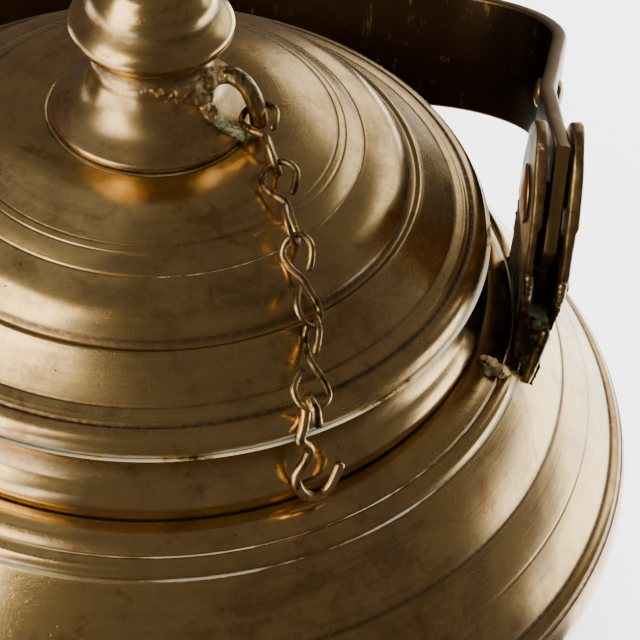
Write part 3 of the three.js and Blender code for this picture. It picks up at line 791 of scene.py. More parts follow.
def aged_brass(name, tarnish=0.5, polish=0.14, lay=None, crust=0.0, smut_and_shade=0.0, redness=0.5):
    """Old brass: gold under brown mottling, darker in its grooves with grime and painted shade, with pale
    residue where it was never wiped, fine turning marks, scratches and pits. lay is the stretch of its
    finishing marks where they don't run round the kettle. crust adds verdigris, smut_and_shade black
    smears, which where heavy are painted shade, and redness copper-coloured patches."""
    surface = Surface(name)
    lines = surface.stretched(lay) if lay else surface.along_rings()
    clouds = surface.noise("clouds")
    mottle = surface.noise("mottle")
    specks = surface.noise("specks")
    torn = surface.noise("torn")
    streaks = surface.noise("streaks", lines)
    fine_marks = surface.noise("fine_marks", lines)
    worn = surface.weighted((clouds, 0.55), (mottle, 0.45), (streaks, 0.25), (specks, 0.15))
    base = tarnished(surface, worn, tarnish, redness)
    if smut_and_shade:
        base = blackened(surface, base, streaks, mottle, smut_and_shade)

    pits = pitting(surface, mottle, torn)
    # The grime mark darkens towards wine and roughens: dirt, and painted shade in grooves, seams, insides
    # and joints.
    dirt_and_shade = surface.sum("MULTIPLY", surface.mark("grime_and_shade"), surface.steps(specks, 0.25, 0.55, 0.6, 1.0))
    base = surface.mix(surface.sum("MULTIPLY", pits, 0.8), base, soot_and_shade)
    base = surface.mix(surface.sum("MULTIPLY", dirt_and_shade, 0.85), base, wine)
    chalky = dull = chalky_residue(surface, torn)
    if crust:
        base, grown = crusted(surface, base, crust)
        dull = surface.sum("MAXIMUM", chalky, grown)
    base = surface.mix(chalky, base, chalk)

    rough = surface.blend(surface.steps(worn, 0.5, 0.95), polish, polish + 0.12)
    rough = surface.sum("MULTIPLY_ADD", fine_marks, 0.06, rough)
    rough = surface.blend(surface.sum("MAXIMUM", dull, surface.sum("MULTIPLY", dirt_and_shade, 0.6)), rough, 0.7)
    normal = relief(surface, streaks, fine_marks, pits)
    if crust:
        normal = surface.bump(surface.sum("MULTIPLY", torn, dull), crust_depth * crust, normal)
    surface.put(base, surface.shader.inputs["Base Color"])
    surface.put(rough, surface.shader.inputs["Roughness"])
    surface.put(surface.sum("SUBTRACT", 1.0, dull), surface.shader.inputs["Metallic"])
    surface.put(normal, surface.shader.inputs["Normal"])
    return surface.material


def pale_floor():
    surface = Surface("pale_floor")
    tone = surface.mix(surface.noise("floor"), floor_white, floor_light)
    surface.put(tone, surface.shader.inputs["Base Color"])
    surface.shader.inputs["Roughness"].default_value = 0.7
    return surface.material


brass = aged_brass("aged_brass")
lid_brass = aged_brass("lid_brass", tarnish=0.55, polish=0.15)
dark_brass = aged_brass("dark_brass", tarnish=1.0, polish=0.3)
# Painted shade: the strap's heavy tarnish and black smears darken it for the shade on its inner face.
shaded_strap_brass = aged_brass("shaded_strap_brass", tarnish=1.2, polish=0.24, lay=along_strap, smut_and_shade=1.35)
ear_brass = aged_brass("ear_brass", tarnish=1.0, polish=0.24, lay=along_strap, crust=0.15, smut_and_shade=0.4)
pin_brass = aged_brass("pin_brass", tarnish=0.9, polish=0.24, lay=along_strap, redness=1.3)
solder = aged_brass("solder", tarnish=1.0, polish=0.4, lay=along_strap, crust=0.8, smut_and_shade=0.3)
crusted_brass = aged_brass(
    "crusted_brass", tarnish=1.3, polish=0.3, lay=along_strap, crust=0.8, smut_and_shade=0.9
)
wire_brass = aged_brass("wire_brass", tarnish=1.0, polish=0.22, lay=along_strap, crust=0.12, smut_and_shade=0.5)

# Body

# Painted shade: the insides of the bowl, shoulder, collar bore and lid are darkened.
inside_shade = 0.8
seam_grime_and_shade = 0.6
seam_points = 4
collar_residue = 0.9
collar_residue_width = 0.45
bore_residue = 0.3

# Pale flux left by the soldering of the ear: place, reach and strength
shoulder_stains = [((90, -26, 113.6), 5.5, 0.85), ((86, -24, 117), 3.5, 0.7), ((95, -23, 110), 3, 0.5)]


def stain(mesh_data, place, reach, strength):
    """A soft spot of residue round a place on a mesh."""
    attribute = mesh_data.attributes["residue"]
    for vertex, item in zip(mesh_data.vertices, attribute.data):
        away = (vertex.co / millimetre - Vector(place)).length / reach
        if away < 2:
            item.value = max(item.value, strength * math.exp(-(away**2)))


def bevelled(inside, low_z, high, edge_in, edge_up):
    """The outline of a ring whose lower outer edge is cut off."""
    return outline_of(
        (inside, low_z),
        (high.x - edge_in, low_z),
        (high.x, low_z + edge_up),
        (high.x, high.z),
        (inside, high.z),
    )


def base_plate():
    outline = bevelled(0, 0, base_high, base_edge, base_edge)
    finished_node("base_plate", turned(outline, closed=False), "kettle", dark_brass)


def bowl():
    height = bowl_high.z - bowl_low.z
    corners = [(across * bowl_high.x, bowl_low.z + up * height) for across, up in bowl_line_shares]
    outer = spline(outline_of(*corners), bowl_step)
    inner = offset_line(outer, -bowl_wall)
    inner[0].y = outer[0].y
    # Darker at the seam with the shoulder: grime and painted shade.
    marks = [(0, seam_grime_and_shade * max(0, 1 - i / seam_points)) for i in range(len(outer))]
    marks += [(0, inside_shade)] * len(inner)
    mesh_data = turned([*outer, *reversed(inner)], marks)
    finished_node("body_lower", mesh_data, "kettle", brass)


def shoulder():
    rise = shoulder_high.z - shoulder_low.z
    line = [Vector((mouth_radius, shoulder_high.z))]
    line += moulding(shoulder_line_shares, bowl_high.x, rise, shoulder_low.z)
    outer, marks = grooved(line, shoulder_grooves)
    inner = offset_line(line, -shoulder_wall)
    inner[-1].y = outer[-1].y
    marks += [(0, inside_shade)] * len(inner)
    mesh_data = turned([*outer, *reversed(inner)], marks)
    for place, reach, strength in shoulder_stains:
        stain(mesh_data, place, reach, strength)
    finished_node("body_upper", mesh_data, "kettle", brass)


def collar():
    height = collar_high.z - collar_low.z
    radius = collar_high.x / max(across for across, _, _ in collar_line_shares)
    outer, marks = grooved(moulding(collar_line_shares, radius, height, collar_low.z), collar_grooves)
    for i, (point, mark) in enumerate(zip(outer, marks)):
        top = collar_residue * nearness(point.y, [collar_high.z], collar_residue_width)
        marks[i] = (max(mark[0], top), mark[1])
    bore = outline_of((mouth_radius, collar_low.z), (mouth_radius, collar_high.z))
    marks += [(0, inside_shade), (bore_residue, inside_shade)]
    finished_node("mouth_collar", turned([*outer, *bore], marks), "kettle", brass)


# Lid and knob

rim_residue = 0.8
# Painted shade: the lid's skirt, inside the mouth, is darkened.
skirt_shade = 0.5
knob_crease_shares = (0.33, 0.583)
knob_crease_width_share = 0.02
knob_seat_width_share = 0.012
knob_seat_run = 1
# Painted shade: the knob's lower bell is darkened, dimming its highlight and its reflection in the lid.
knob_bell_shade_share = 0.1
knob_bell_shade_width_share = 0.09


def lid_dome():
    line = moulding(lid_line_shares, lid_high.x, lid_high.z - lid_low.z, lid_low.z)
    line = [Vector((knob_hole, lid_high.z)), *line]
    outer, marks = grooved(line, lid_grooves)
    inner = [point for point in offset_line(line, -lid_wall) if point.x < mouth_radius]
    inner = inner[::lid_inner_skip]
    inner.append(Vector((mouth_radius, inner[-1].y)))
    under = [*reversed(inner), Vector((knob_hole, inner[0].y))]
    marks += [(rim_residue, 0), *[(0, inside_shade)] * len(under)]
    mesh_data = turned([*outer, Vector((mouth_radius, lid_low.z)), *under], marks)
    finished_node("lid_dome", mesh_data, "lid", lid_brass)


def lid_skirt():
    inside = skirt_high.x - skirt_wall
    outline = bevelled(inside, skirt_low.z, skirt_high, skirt_edge_in, skirt_edge_up)
    mesh_data = turned(outline, [(0, skirt_shade)] * len(outline))
    finished_node("lid_skirt", mesh_data, "lid", dark_brass)


def knob():
    height = knob_high.z - knob_low.z
    line = moulding(knob_line_shares, knob_ring_radius, height, knob_low.z)
    marks = []
    for point in line:
        rise = (point.y - knob_low.z) / height
        crease = nearness(rise, knob_crease_shares, knob_crease_width_share)
        at_seat = point.x > line[-1].x - knob_seat_run
        seat = nearness(rise, [0], knob_seat_width_share) if at_seat else 0
        # The lower bell's darkening is painted shade.
        bell_shade = nearness(rise, [knob_bell_shade_share], knob_bell_shade_width_share)
        marks.append((0.45 * seat + 0.3 * crease, 0.8 * crease + 0.4 * bell_shade))
    top = stud_high.z + fit_gap
    bore = outline_of((knob_hole, knob_low.z), (knob_hole, top), (0, top))
    # Painted shade: the knob's bore is darkened.
    marks += [(0, 0.9)] * len(bore)
    mesh_data = turned([*line, *bore], marks, small_ring_segments * 2, closed=False)
    finished_node("knob", mesh_data, "lid", lid_brass)


def knob_stud():
    head = [
        (across * stud_high.x, stud_low.z + up * stud_head_height) for across, up in stud_head_line_shares
    ]
    head_top = stud_low.z + stud_head_height
    shank = [(stud_radius, head_top), (stud_radius, stud_high.z), (0, stud_high.z)]
    outline = outline_of((0, stud_low.z), *head, *shank)
    mesh_data = turned(outline, None, small_ring_segments, small_wobble, False)
    finished_node("knob_stud", mesh_data, "lid", dark_brass)


def knob_washer():
    outline = bevelled(knob_hole, washer_low.z, washer_high, washer_edge, washer_edge)
    mesh_data = turned(outline, None, small_ring_segments, small_wobble)
    finished_node("knob_washer", mesh_data, "lid", dark_brass)


# Solder and braze

drop_fineness = 3
lump_voxel = 0.35
lump_smoothing = 3
lump_residue = 0.35
lump_grime = 0.3
solder_roughness = 0.5
knob_solder_roughness = 0.6

# Solder round the root of the knob's eye: each run is places, its first and last drop's radius
# and its number of drops
knob_solder_runs = [
    ([(11.5, -3.5, 184), (14, -4, 185), (16.6, -4.3, 185.6)], 2.4, 2.2, 5),
    ([(0, -13, 186.6), (6, -11.8, 185.8), (10, -9.5, 185), (13, -6, 184.8)], 1.2, 2.4, 10),
    ([(4, -12.2, 184.4), (9, -10.2, 183), (12.5, -8, 182)], 1.3, 2.3, 8),
    ([(11.5, -8.4, 182), (14.6, -9, 177.5), (18, -9.4, 174.6), (21.2, -9.8, 172.8)], 2.1, 1.5, 14),
]


def run_of_drops(places, first_radius, last_radius, count):
    """Drops along a bent line, evenly spread and evenly tapering."""
    line = even_line(spline(outline_of(*places), tube_step), count - 1)
    taper = (last_radius - first_radius) / (count - 1)
    return [(place, first_radius + taper * i) for i, place in enumerate(line)]


def lumps(drops, roughness, sign=1):
    """Metal run together from drops, each a centre and a radius, with a rough skin."""
    work = bmesh.new()
    for centre, radius in drops:
        place = Matrix.Translation(Vector(centre) * millimetre)
        radius *= millimetre
        bmesh.ops.create_icosphere(work, subdivisions=drop_fineness, radius=radius, matrix=place)
    mesh_data = bpy.data.meshes.new("drops")
    work.to_mesh(mesh_data)
    work.free()
    mesh_data = melted(mesh_data, lump_voxel, lump_smoothing)
    for vertex in mesh_data.vertices:
        push = unevenness(vertex.co / millimetre, lump_waves)
        vertex.co += vertex.normal * (push * roughness * millimetre)
    mark_all(mesh_data, lump_residue, lump_grime)
    return half_turned(mesh_data, sign)


def knob_solder():
    drops = [drop for run in knob_solder_runs for drop in run_of_drops(*run)]
    finished("knob_solder", lumps(drops, knob_solder_roughness), "lid", solder)


# Chain

eye_end_share = 0.08
wire_end_share = 0.03
eye_residue = 0.3
eye_grime = 0.2
link_residue = 0.35
link_grime_and_shade = 0.9
link_contact_shares = (0.235, 0.765)
link_crossing_shares = (0, 0.5, 1)
link_mark_spread_share = 0.045
link_worn_spread_share = 0.1


def chain_eye():
    height = knob_high.z - knob_low.z
    turn = math.radians(eye_turn_degrees)
    points = [
        around_axis(across * knob_ring_radius, knob_low.z + up * height, turn)
        for across, up in eye_line_shares
    ]
    section = round_section(tapered_ends(eye_wire_radius, eye_end_share), eye_dent_share)
    mesh_data = swept(bezier(points, eye_steps), section, lambda share: (eye_residue, eye_grime))
    finished_node("chain_eye", mesh_data, "lid", wire_brass)


def hung(along, axis, roll_degrees, place):
    """Turns a wire's own frame so that +X runs along the link and rolls it."""
    x = along.normalized()
    y = -axis.normalized()
    y = (y - x * y.dot(x)).normalized()
    z = x.cross(y)
    turn = Matrix((x, y, z)).transposed() @ Matrix.Rotation(math.radians(roll_degrees), 3, "X")
    return lambda point: place + turn @ point


def link_marks(share):
    """Grime and painted shade where a link carries the next one and where its wire crosses itself."""
    near = nearness(share, (*link_crossing_shares, *link_contact_shares), link_mark_spread_share)
    return (link_residue * near, link_grime_and_shade * near)


def link_radius(share):
    rounded = tapered_ends(link_wire_drawn, wire_end_share)(share)
    return rounded - link_wire_worn * nearness(share, link_contact_shares, link_worn_spread_share)


def chain_link(number, place, next_place, axis, roll_degrees, carrier_radius):
    """One bent wire in two loops square to each other, from its place to the next one's."""
    half = link_length / 2
    middle = half - (carrier_radius + link_wire_radius + fit_gap)
    side = link_width / 2
    upper = [Vector((middle - along * half, across * side, 0)) for along, across in loop_shares]
    lower = [Vector((middle + along * half, 0, across * side)) for along, across in loop_shares]
    line = spline([*upper, Vector((middle, 0, 0)), *reversed(lower)], tube_step)
    to_part = hung(next_place - place, axis, roll_degrees, place)
    path = [to_part(point) for point in line]
    mesh_data = swept(path, round_section(link_radius, link_dent_share), link_marks)
    finished_node(f"chain_link_{number}", mesh_data, f"link_{number}", wire_brass)


def chain_hook(place):
    start = -(link_wire_radius + hook_wire_radius + fit_gap)
    line = [
        Vector((start + along * hook_eye_radius, across * hook_width, up * hook_eye_radius))
        for along, across, up in hook_eye_shares
    ]
    line += [
        Vector((along * hook_length, across * hook_width, up * hook_eye_radius))
        for along, across, up in hook_shank_shares
    ]
    lean = math.radians(hook_lean_degrees)
    hang = Vector((*place.xy, 0)).normalized() * math.sin(lean) - Vector((0, 0, math.cos(lean)))
    to_part = hung(hang, Vector(joint_named("hook_swing")["axis"]), 0, place)
    path = [to_part(point) for point in spline(line, tube_step)]
    section = round_section(tapered_ends(hook_wire_drawn, wire_end_share), hook_dent_share)
    finished_node("chain_hook", swept(path, section), "hook", wire_brass)


def chain():
    swings = [f"link_{number}_swing" for number in range(1, len(link_rolls_degrees) + 1)]
    places = [joint_place(name) for name in (*swings, "hook_swing")]
    carrier_radius = eye_wire_radius
    for i, roll_degrees in enumerate(link_rolls_degrees):
        axis = Vector(joint_named(swings[i])["axis"])
        chain_link(i + 1, places[i], places[i + 1], axis, roll_degrees, carrier_radius)
        carrier_radius = link_wire_radius
    chain_hook(places[-1])


# Bail

bail_leg_middle = (inner_plate_high.x + outer_plate_low.x) / 2
bail_pivot = joint_place("bail_swing")
bail_fall = Matrix.Rotation(-math.radians(bail_rest_degrees), 3, "X")
bail_edge_round = 0.9
bail_flare = 0.8  # how far the upper edge stands out past the lower one
bail_end_chamfer = 6.5
bail_end_thinning_share = 0.25
strap_grime = 0.2
strap_wear = 0.8
strap_worn_run = 60
rivet_fullness = 0.8


def bent_line(start, heading_degrees, moves):
    """Walks straight runs and bends, as a strap is bent on a former. A move is a run and
    None, or a radius and a turn in degrees."""
    points = [start]
    heading = math.radians(heading_degrees)
    for length, turn_degrees in moves:
        if turn_degrees is None:
            steps = math.ceil(length / strap_step)
            step = Vector((math.cos(heading), math.sin(heading))) * (length / steps)
            for _ in range(steps):
                points.append(points[-1] + step)
            continue
        turn = math.radians(turn_degrees)
        steps = math.ceil(abs(turn) * length / strap_step)
        side = math.copysign(length, turn)
        centre = points[-1] + Vector((-math.sin(heading), math.cos(heading))) * side
        for step in range(1, steps + 1):
            angle = heading + turn * step / steps
            points.append(centre + Vector((math.sin(angle), -math.cos(angle))) * side)
        heading += turn
    return points


def from_upright(point):
    """From the upright bail's own frame to where the fallen bail lies."""
    return bail_pivot + bail_fall @ point


def leg_out(run):
    """How far out the middle of the strap is, after a run up the leaning part of a leg."""
    lean = math.radians(bail_lean_degrees)
    return bail_leg_middle + bail_bend_radius * (1 - math.cos(lean)) + run * math.sin(lean)


def bail_line():
    corner_middle = leg_out(bail_lean_run) - bail_corner_radius * math.cos(math.radians(bail_lean_degrees))
    top_degrees = math.degrees(math.asin(corner_middle / (bail_top_radius - bail_corner_radius)))
    moves = [
        (bail_end_length + bail_straight, None),
        (bail_bend_radius, -bail_lean_degrees),
        (bail_lean_run, None),
        (bail_corner_radius, 90 + bail_lean_degrees - top_degrees),
        (bail_top_radius, top_degrees),
    ]
    half = bent_line(Vector((bail_leg_middle, -bail_end_length)), 90, moves)
    return [*half, *[Vector((-point.x, point.y)) for point in reversed(half[:-1])]]


def strap_section(from_end):
    """Points of the strap's section, out and across, with round edges. The lower corner of
    each end is cut off."""
    soften = 1 - max(0, 1 - from_end / bail_edge_round) * bail_end_thinning_share
    low = -bail_width / 2
    high = bail_width / 2 - max(0, bail_end_chamfer - from_end)
    points = []
    for sign_out, sign_across, start in ((1, 1, 0), (-1, 1, 90), (-1, -1, 180), (1, -1, 270)):
        out = sign_out * (bail_thickness / 2 * soften - bail_edge_round)
        across = (high if sign_across > 0 else low) - sign_across * bail_edge_round
        for k in range(corner_steps + 1):
            angle = math.radians(start + 90 * k / corner_steps)
            spoke = bail_edge_round * math.cos(angle), bail_edge_round * math.sin(angle)
            points.append((out + spoke[0], across + spoke[1]))
    return points


def bail_strap():
    line = bail_line()
    lengths = lengths_along(line)
    sections, marks = [], []
    for i, place in enumerate(line):
        normal = -line_normal(line, i)
        from_end = min(lengths[i], lengths[-1] - lengths[i])
        near_end = 1 - min(1, from_end / strap_worn_run)
        section, section_marks = [], []
        for out, across in strap_section(from_end):
            flare = -bail_flare * across / bail_width * abs(place.x) / bail_leg_middle
            spot = place + normal * (out + flare)
            spot += normal * (strap_dent * noise.noise(Vector((*spot, across)) * strap_waves))
            section.append(from_upright(Vector((spot.x, across, spot.y))))
            handled = out > 0 or abs(across) > bail_width / 2 - bail_edge_round
            section_marks.append((0, strap_grime, max(strap_wear if handled else 0, near_end)))
        sections.append(section)
        marks.append(section_marks)
    finished_node("bail_strap", skin(sections, marks), "bail", shaded_strap_brass)


def domed_rivet(shank_radius, head_radius, head_height, low_face, high_face):
    """A rivet along its own X, as an outline turned about X."""
    head = []
    for k in range(rivet_head_steps + 1):
        angle = math.pi / 2 * k / rivet_head_steps
        head.append((head_radius * math.cos(angle), head_height * math.sin(angle) ** rivet_fullness))
    low_seat = low_face - fit_gap
    high_seat = high_face + fit_gap
    outline = [(across, low_seat - up) for across, up in reversed(head)]
    outline += [(shank_radius, low_seat), (shank_radius, high_seat)]
    outline += [(across, high_seat + up) for across, up in head]
    outline = outline_of(*outline)
    outline[0].x = outline[-1].x = 0
    mesh_data = turned(outline, None, rivet_segments, rivet_wobble, False)
    mesh_data.transform(Matrix.Rotation(math.pi / 2, 4, "Y"))
    return mesh_data


def bail_rivets():
    lean = math.radians(bail_lean_degrees)
    run = bail_lean_run * bail_rivet_run_share
    up = bail_straight + bail_bend_radius * math.sin(lean) + run * math.cos(lean)
    face = bail_thickness / 2
    for side, mirror in (("right", 1), ("left", -1)):
        mesh_data = domed_rivet(
            bail_rivet_radius, bail_rivet_head_radius, bail_rivet_head_height, -face, face
        )
        place = from_upright(Vector((leg_out(run) * mirror, -bail_rivet_across, up)))
        turn = bail_fall @ Matrix.Rotation(lean * mirror, 3, "Y")
        mesh_data.transform(Matrix.Translation(place * millimetre) @ turn.to_4x4())
        finished_node(f"bail_rivet_{side}", mesh_data, "bail", ear_brass)


# Ears

plate_angles = 180
plate_edge_round = 0.7
plate_step_height = 1.5  # above the pin's middle, where the thicker head of a plate begins
plate_step = 0.8
outer_plate_step = 0.48
plate_step_sharpness = 4
plate_reach_shares = (0, 0.15, 0.35, 0.6, 0.85, 1)
plate_corner_shares = (0.3, 0.7, 1)
plate_mark = (0.1, 0.45, 0.4)
foot_voxel = 0.6
foot_smoothing = 4
foot_residue = 0.15
foot_grime = 0.6
foot_root_height = 114
foot_root_blend = 5
foot_inset = 0.3
foot_edge_roughness = 0.12
braze_roughness = 0.1
foot_edge_line = [(95.2, -19.9, 126.5), (94.4, -20.2, 122), (93, -20.6, 115), (92.4, -20.6, 112)]
foot_edge_run = (foot_edge_line, 1.4, 1.4, 16)
braze_runs = {
    "inner": ([(89.6, -18.2, 142.2), (89.7, -18.9, 139.5), (89.8, -19, 137)], 1.25, 1.0, 5),
    "outer": ([(97.6, -18.2, 140.4), (97.6, -18.9, 138), (97.4, -19, 135.6)], 1.3, 1.04, 5),
}
ear_lump_drops = [
    ((81, -24.4, 120.6), 1.6),
    ((82.6, -25.6, 120.8), 2.2),
    ((84.1, -26, 120.2), 1.8),
    ((85, -26.8, 119.2), 1.3),
    ((82, -27, 119.6), 1.4),
]


def tongue_reach(angle, low, high):
    """How far the plate's edge is from the pin, in a direction round it: out to the half
    ellipse that stands on the foot, or down to the foot."""
    across, up = math.cos(angle), math.sin(angle)
    below = bail_pivot.z - low.z
    half, rise = high.y, high.z - low.z
    a = (across / half) ** 2 + (up / rise) ** 2
    b = 2 * up * below / rise**2
    c = (below / rise) ** 2 - 1
    reach = (-b + math.sqrt(b * b - 4 * a * c)) / (2 * a)
    return min(reach, below / -up) if up < 0 else reach


def plate_ring(low, high, step_depth, share, inset, face, depth):
    """A ring of points on a plate's face, at a share of the way from the pin to the edge."""
    outer = face > (low.x + high.x) / 2
    ring = []
    for k in range(plate_angles):
        angle = math.tau * k / plate_angles
        edge = tongue_reach(angle, low, high) - inset
        reach = pin_radius + fit_gap
        reach += (edge - reach) * share
        y = reach * math.cos(angle)
        z = bail_pivot.z + reach * math.sin(angle)
        place = Vector((face, y, z))
        uneven = plate_dent * noise.noise(place * plate_waves) - plate_dent_middle
        x = face + depth * plate_edge_round + (uneven if outer else -uneven)
        if outer:
            above_step = z - bail_pivot.z - plate_step_height
            x -= step_depth / (1 + math.exp(above_step * plate_step_sharpness))
        worn = (edge_wear * noise.noise(place * edge_waves) - edge_wear_middle) * share
        ring.append(Vector((x, y + worn * math.cos(angle), z + worn * math.sin(angle))))
    return ring


def ear_plate(low, high, step_depth):
    """A tongue-shaped plate with worn edges. Its head is thicker than its stem."""
    layers = [(0, share, plate_edge_round) for share in plate_reach_shares]
    for turn in plate_corner_shares:
        angle = math.pi / 2 * turn
        layers.append((1 - math.cos(angle), 1, plate_edge_round * (1 - math.sin(angle))))
    rings = [
        plate_ring(low, high, step_depth, share, inset, low.x, depth) for depth, share, inset in layers
    ]
    rings += [
        plate_ring(low, high, step_depth, share, inset, high.x, -depth)
        for depth, share, inset in reversed(layers)
    ]
    return skin(rings, [plate_mark] * len(rings), joined=True)


def ear_plates(side, sign):
    for layer, low, high, step_depth in (
        ("inner", inner_plate_low, inner_plate_high, plate_step),
        ("outer", outer_plate_low, outer_plate_high, outer_plate_step),
    ):
        mesh_data = half_turned(ear_plate(low, high, step_depth), sign)
        finished_node(f"ear_{layer}_plate_{side}", mesh_data, "kettle", ear_brass)


def ear_pin(side, sign):
    faces = (inner_plate_low.x, outer_plate_high.x)
    mesh_data = domed_rivet(pin_radius, pin_head_radius, pin_head_height, *faces)
    mesh_data.transform(Matrix.Translation(bail_pivot * millimetre))
    finished_node(f"ear_pin_{side}", half_turned(mesh_data, sign), "kettle", pin_brass)


def ear_foot(side, sign):
    """The model's foot, crusted. Its inner side stands upright under the plate and spreads
    only at its root."""
    node = f"ear_foot_{side}"
    mesh_data = melted(copied(node), foot_voxel, foot_smoothing)
    for vertex in mesh_data.vertices:
        place = vertex.co / millimetre
        vertex.co += vertex.normal * (unevenness(place, foot_waves) - foot_settling) * millimetre
        upright = min(1, max(0, (place.z - foot_root_height) / foot_root_blend))
        short = max(0, inner_plate_low.x + foot_inset - abs(place.x))
        long = max(0, sign * place.y - inner_plate_high.y)
        vertex.co.x += sign * short * upright * millimetre
        vertex.co.y -= sign * long * upright * millimetre
    mark_all(mesh_data, foot_residue, foot_grime)
    finished_node(node, mesh_data, "kettle", crusted_brass)


def ear_braze(side, sign):
    for layer, run in braze_runs.items():
        mesh_data = lumps(run_of_drops(*run), braze_roughness, sign)
        finished(f"ear_braze_{layer}_{side}", mesh_data, "kettle", ear_brass)
    mesh_data = lumps(run_of_drops(*foot_edge_run), foot_edge_roughness, sign)
    finished(f"ear_foot_edge_{side}", mesh_data, "kettle", ear_brass)


def ears():
    for side, sign in (("right", 1), ("left", -1)):
        ear_plates(side, sign)
        ear_pin(side, sign)
        ear_foot(side, sign)
        ear_braze(side, sign)
    mesh_data = lumps(ear_lump_drops, solder_roughness)
    finished("ear_solder_lump", mesh_data, "kettle", solder)


# Spout

spout_outer_grime = 0.1
# Painted shade: the inside of the spout is darkened.
spout_inner_shade = 0.9
flange_residue = 0.1
flange_grime = 0.5


def spout_path():
    start = bowl_high.x - spout_inset
    climb = spout_tip_height - spout_root_height
    points = [
        Vector((-(start + run * (spout_reach - start)), 0, spout_root_height + rise * climb))
        for run, rise in spout_path_shares
    ]
    return even_line(bezier(points, spout_path_steps), spout_rings)


def spout_section(line, i, wall):
    narrowing = (1 - i / (len(line) - 1)) ** spout_taper_power
    radius = spout_tip_radius + (spout_root_radius - spout_tip_radius) * narrowing
    along = (line[min(i + 1, len(line) - 1)] - line[max(i - 1, 0)]).normalized()
    side = Vector((0, 1, 0))
    up = along.cross(side)
    ring = []
    for k in range(small_ring_segments // 2):
        angle = 2 * math.tau * k / small_ring_segments
        ring.append(line[i] + (side * math.cos(angle) + up * math.sin(angle)) * (radius - wall))
    return ring


def spout_tube(line, last):
    start = -(bowl_high.x - spout_start_inset)
    first = next(i for i, place in enumerate(line) if place.x < start)
    places = range(first, last + 1)
    sections = [spout_section(line, i, 0) for i in places]
    sections += [spout_section(line, i, spout_wall) for i in reversed(places)]
    marks = [(0, spout_outer_grime)] * len(places) + [(0, spout_inner_shade)] * len(places)
    finished_node("spout", skin(sections, marks, joined=True), "kettle", brass)


def spout_lip(line, last):
    outline = []
    for radius, shares in (
        (spout_tip_radius, lip_outer_shares),
        (spout_tip_radius - spout_wall, lip_inner_shares),
    ):
        outline += [Vector((radius + flare * lip_flare, up * lip_height)) for flare, up in shares]
    mesh_data = turned(outline, None, small_ring_segments, small_wobble)
    along = (line[last + 1] - line[last - 1]).normalized()
    turn = Vector((0, 0, 1)).rotation_difference(along).to_matrix().to_4x4()
    mesh_data.transform(Matrix.Translation((line[last] + along * fit_gap) * millimetre) @ turn)
    finished_node("spout_lip", mesh_data, "kettle", brass)


def spout_flange():
    rounding = {"width": flange_edge * millimetre, "segments": 2, "limit_method": "ANGLE"}
    mesh_data = with_modifiers(copied("spout_flange"), [("BEVEL", rounding)])
    mark_all(mesh_data, flange_residue, flange_grime)
    finished_node("spout_flange", mesh_data, "kettle", dark_brass)


def spout():
    line = spout_path()
    last = round((len(line) - 1) * spout_lip_share)
    spout_tube(line, last)
    spout_lip(line, last)
    spout_flange()


# Stage

floor_size = 6000
floor_front = (-40, -30)
floor_back = (0, 130)
floor_edge_shares = {
    "front_left": (-0.36, -1),
    "back_left": (-1, 0.5),
    "back_right": (0.42, 1),
}
lit_middle = (0, 0, 110)
room_strength = 0.4

# Each light: centre, width, height, watts, colour and whether the metal mirrors it
studio_lights = {
    "front_panel": ((-700, -566, 510), 620, 900, 11, (1.0, 0.91, 0.74), True),
    "right_panel": ((722, 958, 500), 1220, 650, 4.6, (1.0, 0.97, 0.94), True),
    "left_panel": ((-435, 116, 890), 800, 700, 0.35, (1.0, 1.0, 1.0), True),
    "top_panel": ((400, 350, 1400), 1500, 1500, 145, (1.0, 1.0, 1.0), False),
}
camera_place = Vector((35.33, -403.84, 489.7))
camera_azimuth_degrees = 0.95
camera_elevation_degrees = -43.39
camera_roll_degrees = 4.02
camera_lens = 125.4
camera_sensor = 36
camera_near_metres = 0.01


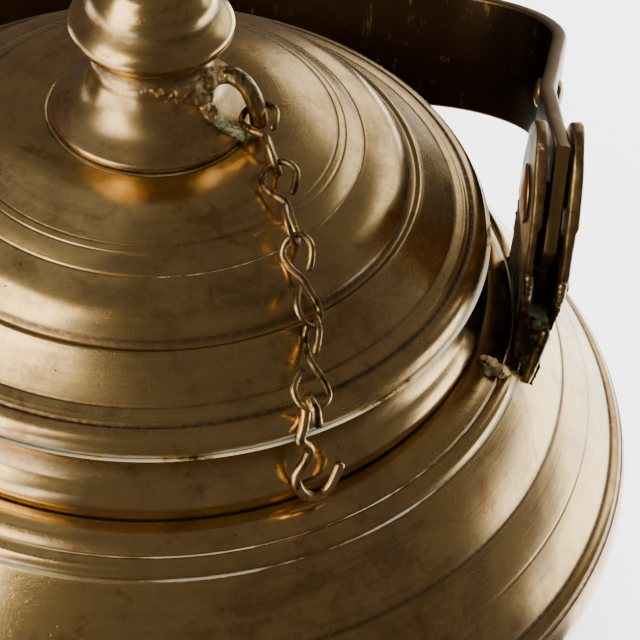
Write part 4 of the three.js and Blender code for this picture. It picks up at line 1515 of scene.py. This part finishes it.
def floor():
    """One level floor in three pieces. The pieces before and behind the kettle, away from the
    lights, aren't mirrored in the metal, which stays as dark there as in a dim room."""
    edge = {name: (x * floor_size, y * floor_size) for name, (x, y) in floor_edge_shares.items()}
    front_right = (floor_size, floor_front[1])
    corners = [(x * floor_size, y * floor_size) for x, y in ((-1, -1), (1, -1), (1, 1), (-1, 1))]
    right = [front_right, corners[2], edge["back_right"]]
    left = [edge["back_left"], corners[0], edge["front_left"]]
    for name, outline in (
        ("floor", [floor_front, *right, floor_back, *left]),
        ("front_floor", [floor_front, edge["front_left"], corners[1], front_right]),
        ("back_floor", [floor_back, edge["back_right"], corners[3], edge["back_left"]]),
    ):
        points = [Vector((*spot, 0)) for spot in outline]
        mesh_data = mesh_of(points, [tuple(range(len(points)))])
        if mesh_data.polygons[0].normal.z < 0:
            mesh_data.flip_normals()
        piece = bpy.data.objects.new(name, mesh_data)
        piece.visible_glossy = name == "floor"
        bpy.context.scene.collection.objects.link(piece)
        piece.data.materials.append(pale_floor())


def panel(name, centre, width, height, watts, colour, mirrored):
    """A soft light that faces the kettle. Where the metal doesn't mirror it, it lights the floor
    and matt places but leaves no patch in the metal."""
    light = bpy.data.lights.new(name, "AREA")
    light.shape = "RECTANGLE"
    light.size = width * millimetre
    light.size_y = height * millimetre
    light.energy = watts
    light.color = colour
    lamp = bpy.data.objects.new(name, light)
    lamp.location = Vector(centre) * millimetre
    lamp.rotation_euler = (Vector(lit_middle) - Vector(centre)).to_track_quat("-Z", "Y").to_euler()
    lamp.visible_glossy = mirrored
    bpy.context.scene.collection.objects.link(lamp)


def studio():
    world = bpy.data.worlds.new("studio")
    world.use_nodes = True
    background = world.node_tree.nodes["Background"]
    background.inputs["Color"].default_value = room_dusk
    background.inputs["Strength"].default_value = room_strength
    bpy.context.scene.world = world
    for name, settings in studio_lights.items():
        panel(name, *settings)


def camera():
    azimuth = math.radians(camera_azimuth_degrees)
    elevation = math.radians(camera_elevation_degrees)
    roll = math.radians(camera_roll_degrees)
    level = math.cos(elevation)
    forward = Vector((level * math.sin(azimuth), level * math.cos(azimuth), math.sin(elevation)))
    level_right = forward.cross(Vector((0, 0, 1))).normalized()
    level_up = level_right.cross(forward)
    right = level_right * math.cos(roll) + level_up * math.sin(roll)
    up = level_up * math.cos(roll) - level_right * math.sin(roll)
    lens = bpy.data.cameras.new("camera")
    lens.lens = camera_lens
    lens.sensor_width = camera_sensor
    lens.clip_start = camera_near_metres
    viewer = bpy.data.objects.new("camera", lens)
    turn = Matrix((right, up, -forward)).transposed().to_4x4()
    viewer.matrix_world = Matrix.Translation(camera_place * millimetre) @ turn
    bpy.context.scene.collection.objects.link(viewer)
    bpy.context.scene.camera = viewer


camera()
studio()
floor()
base_plate()
bowl()
shoulder()
collar()
lid_dome()
lid_skirt()
knob()
knob_stud()
knob_washer()
knob_solder()
chain_eye()
chain()
bail_strap()
bail_rivets()
ears()
spout()
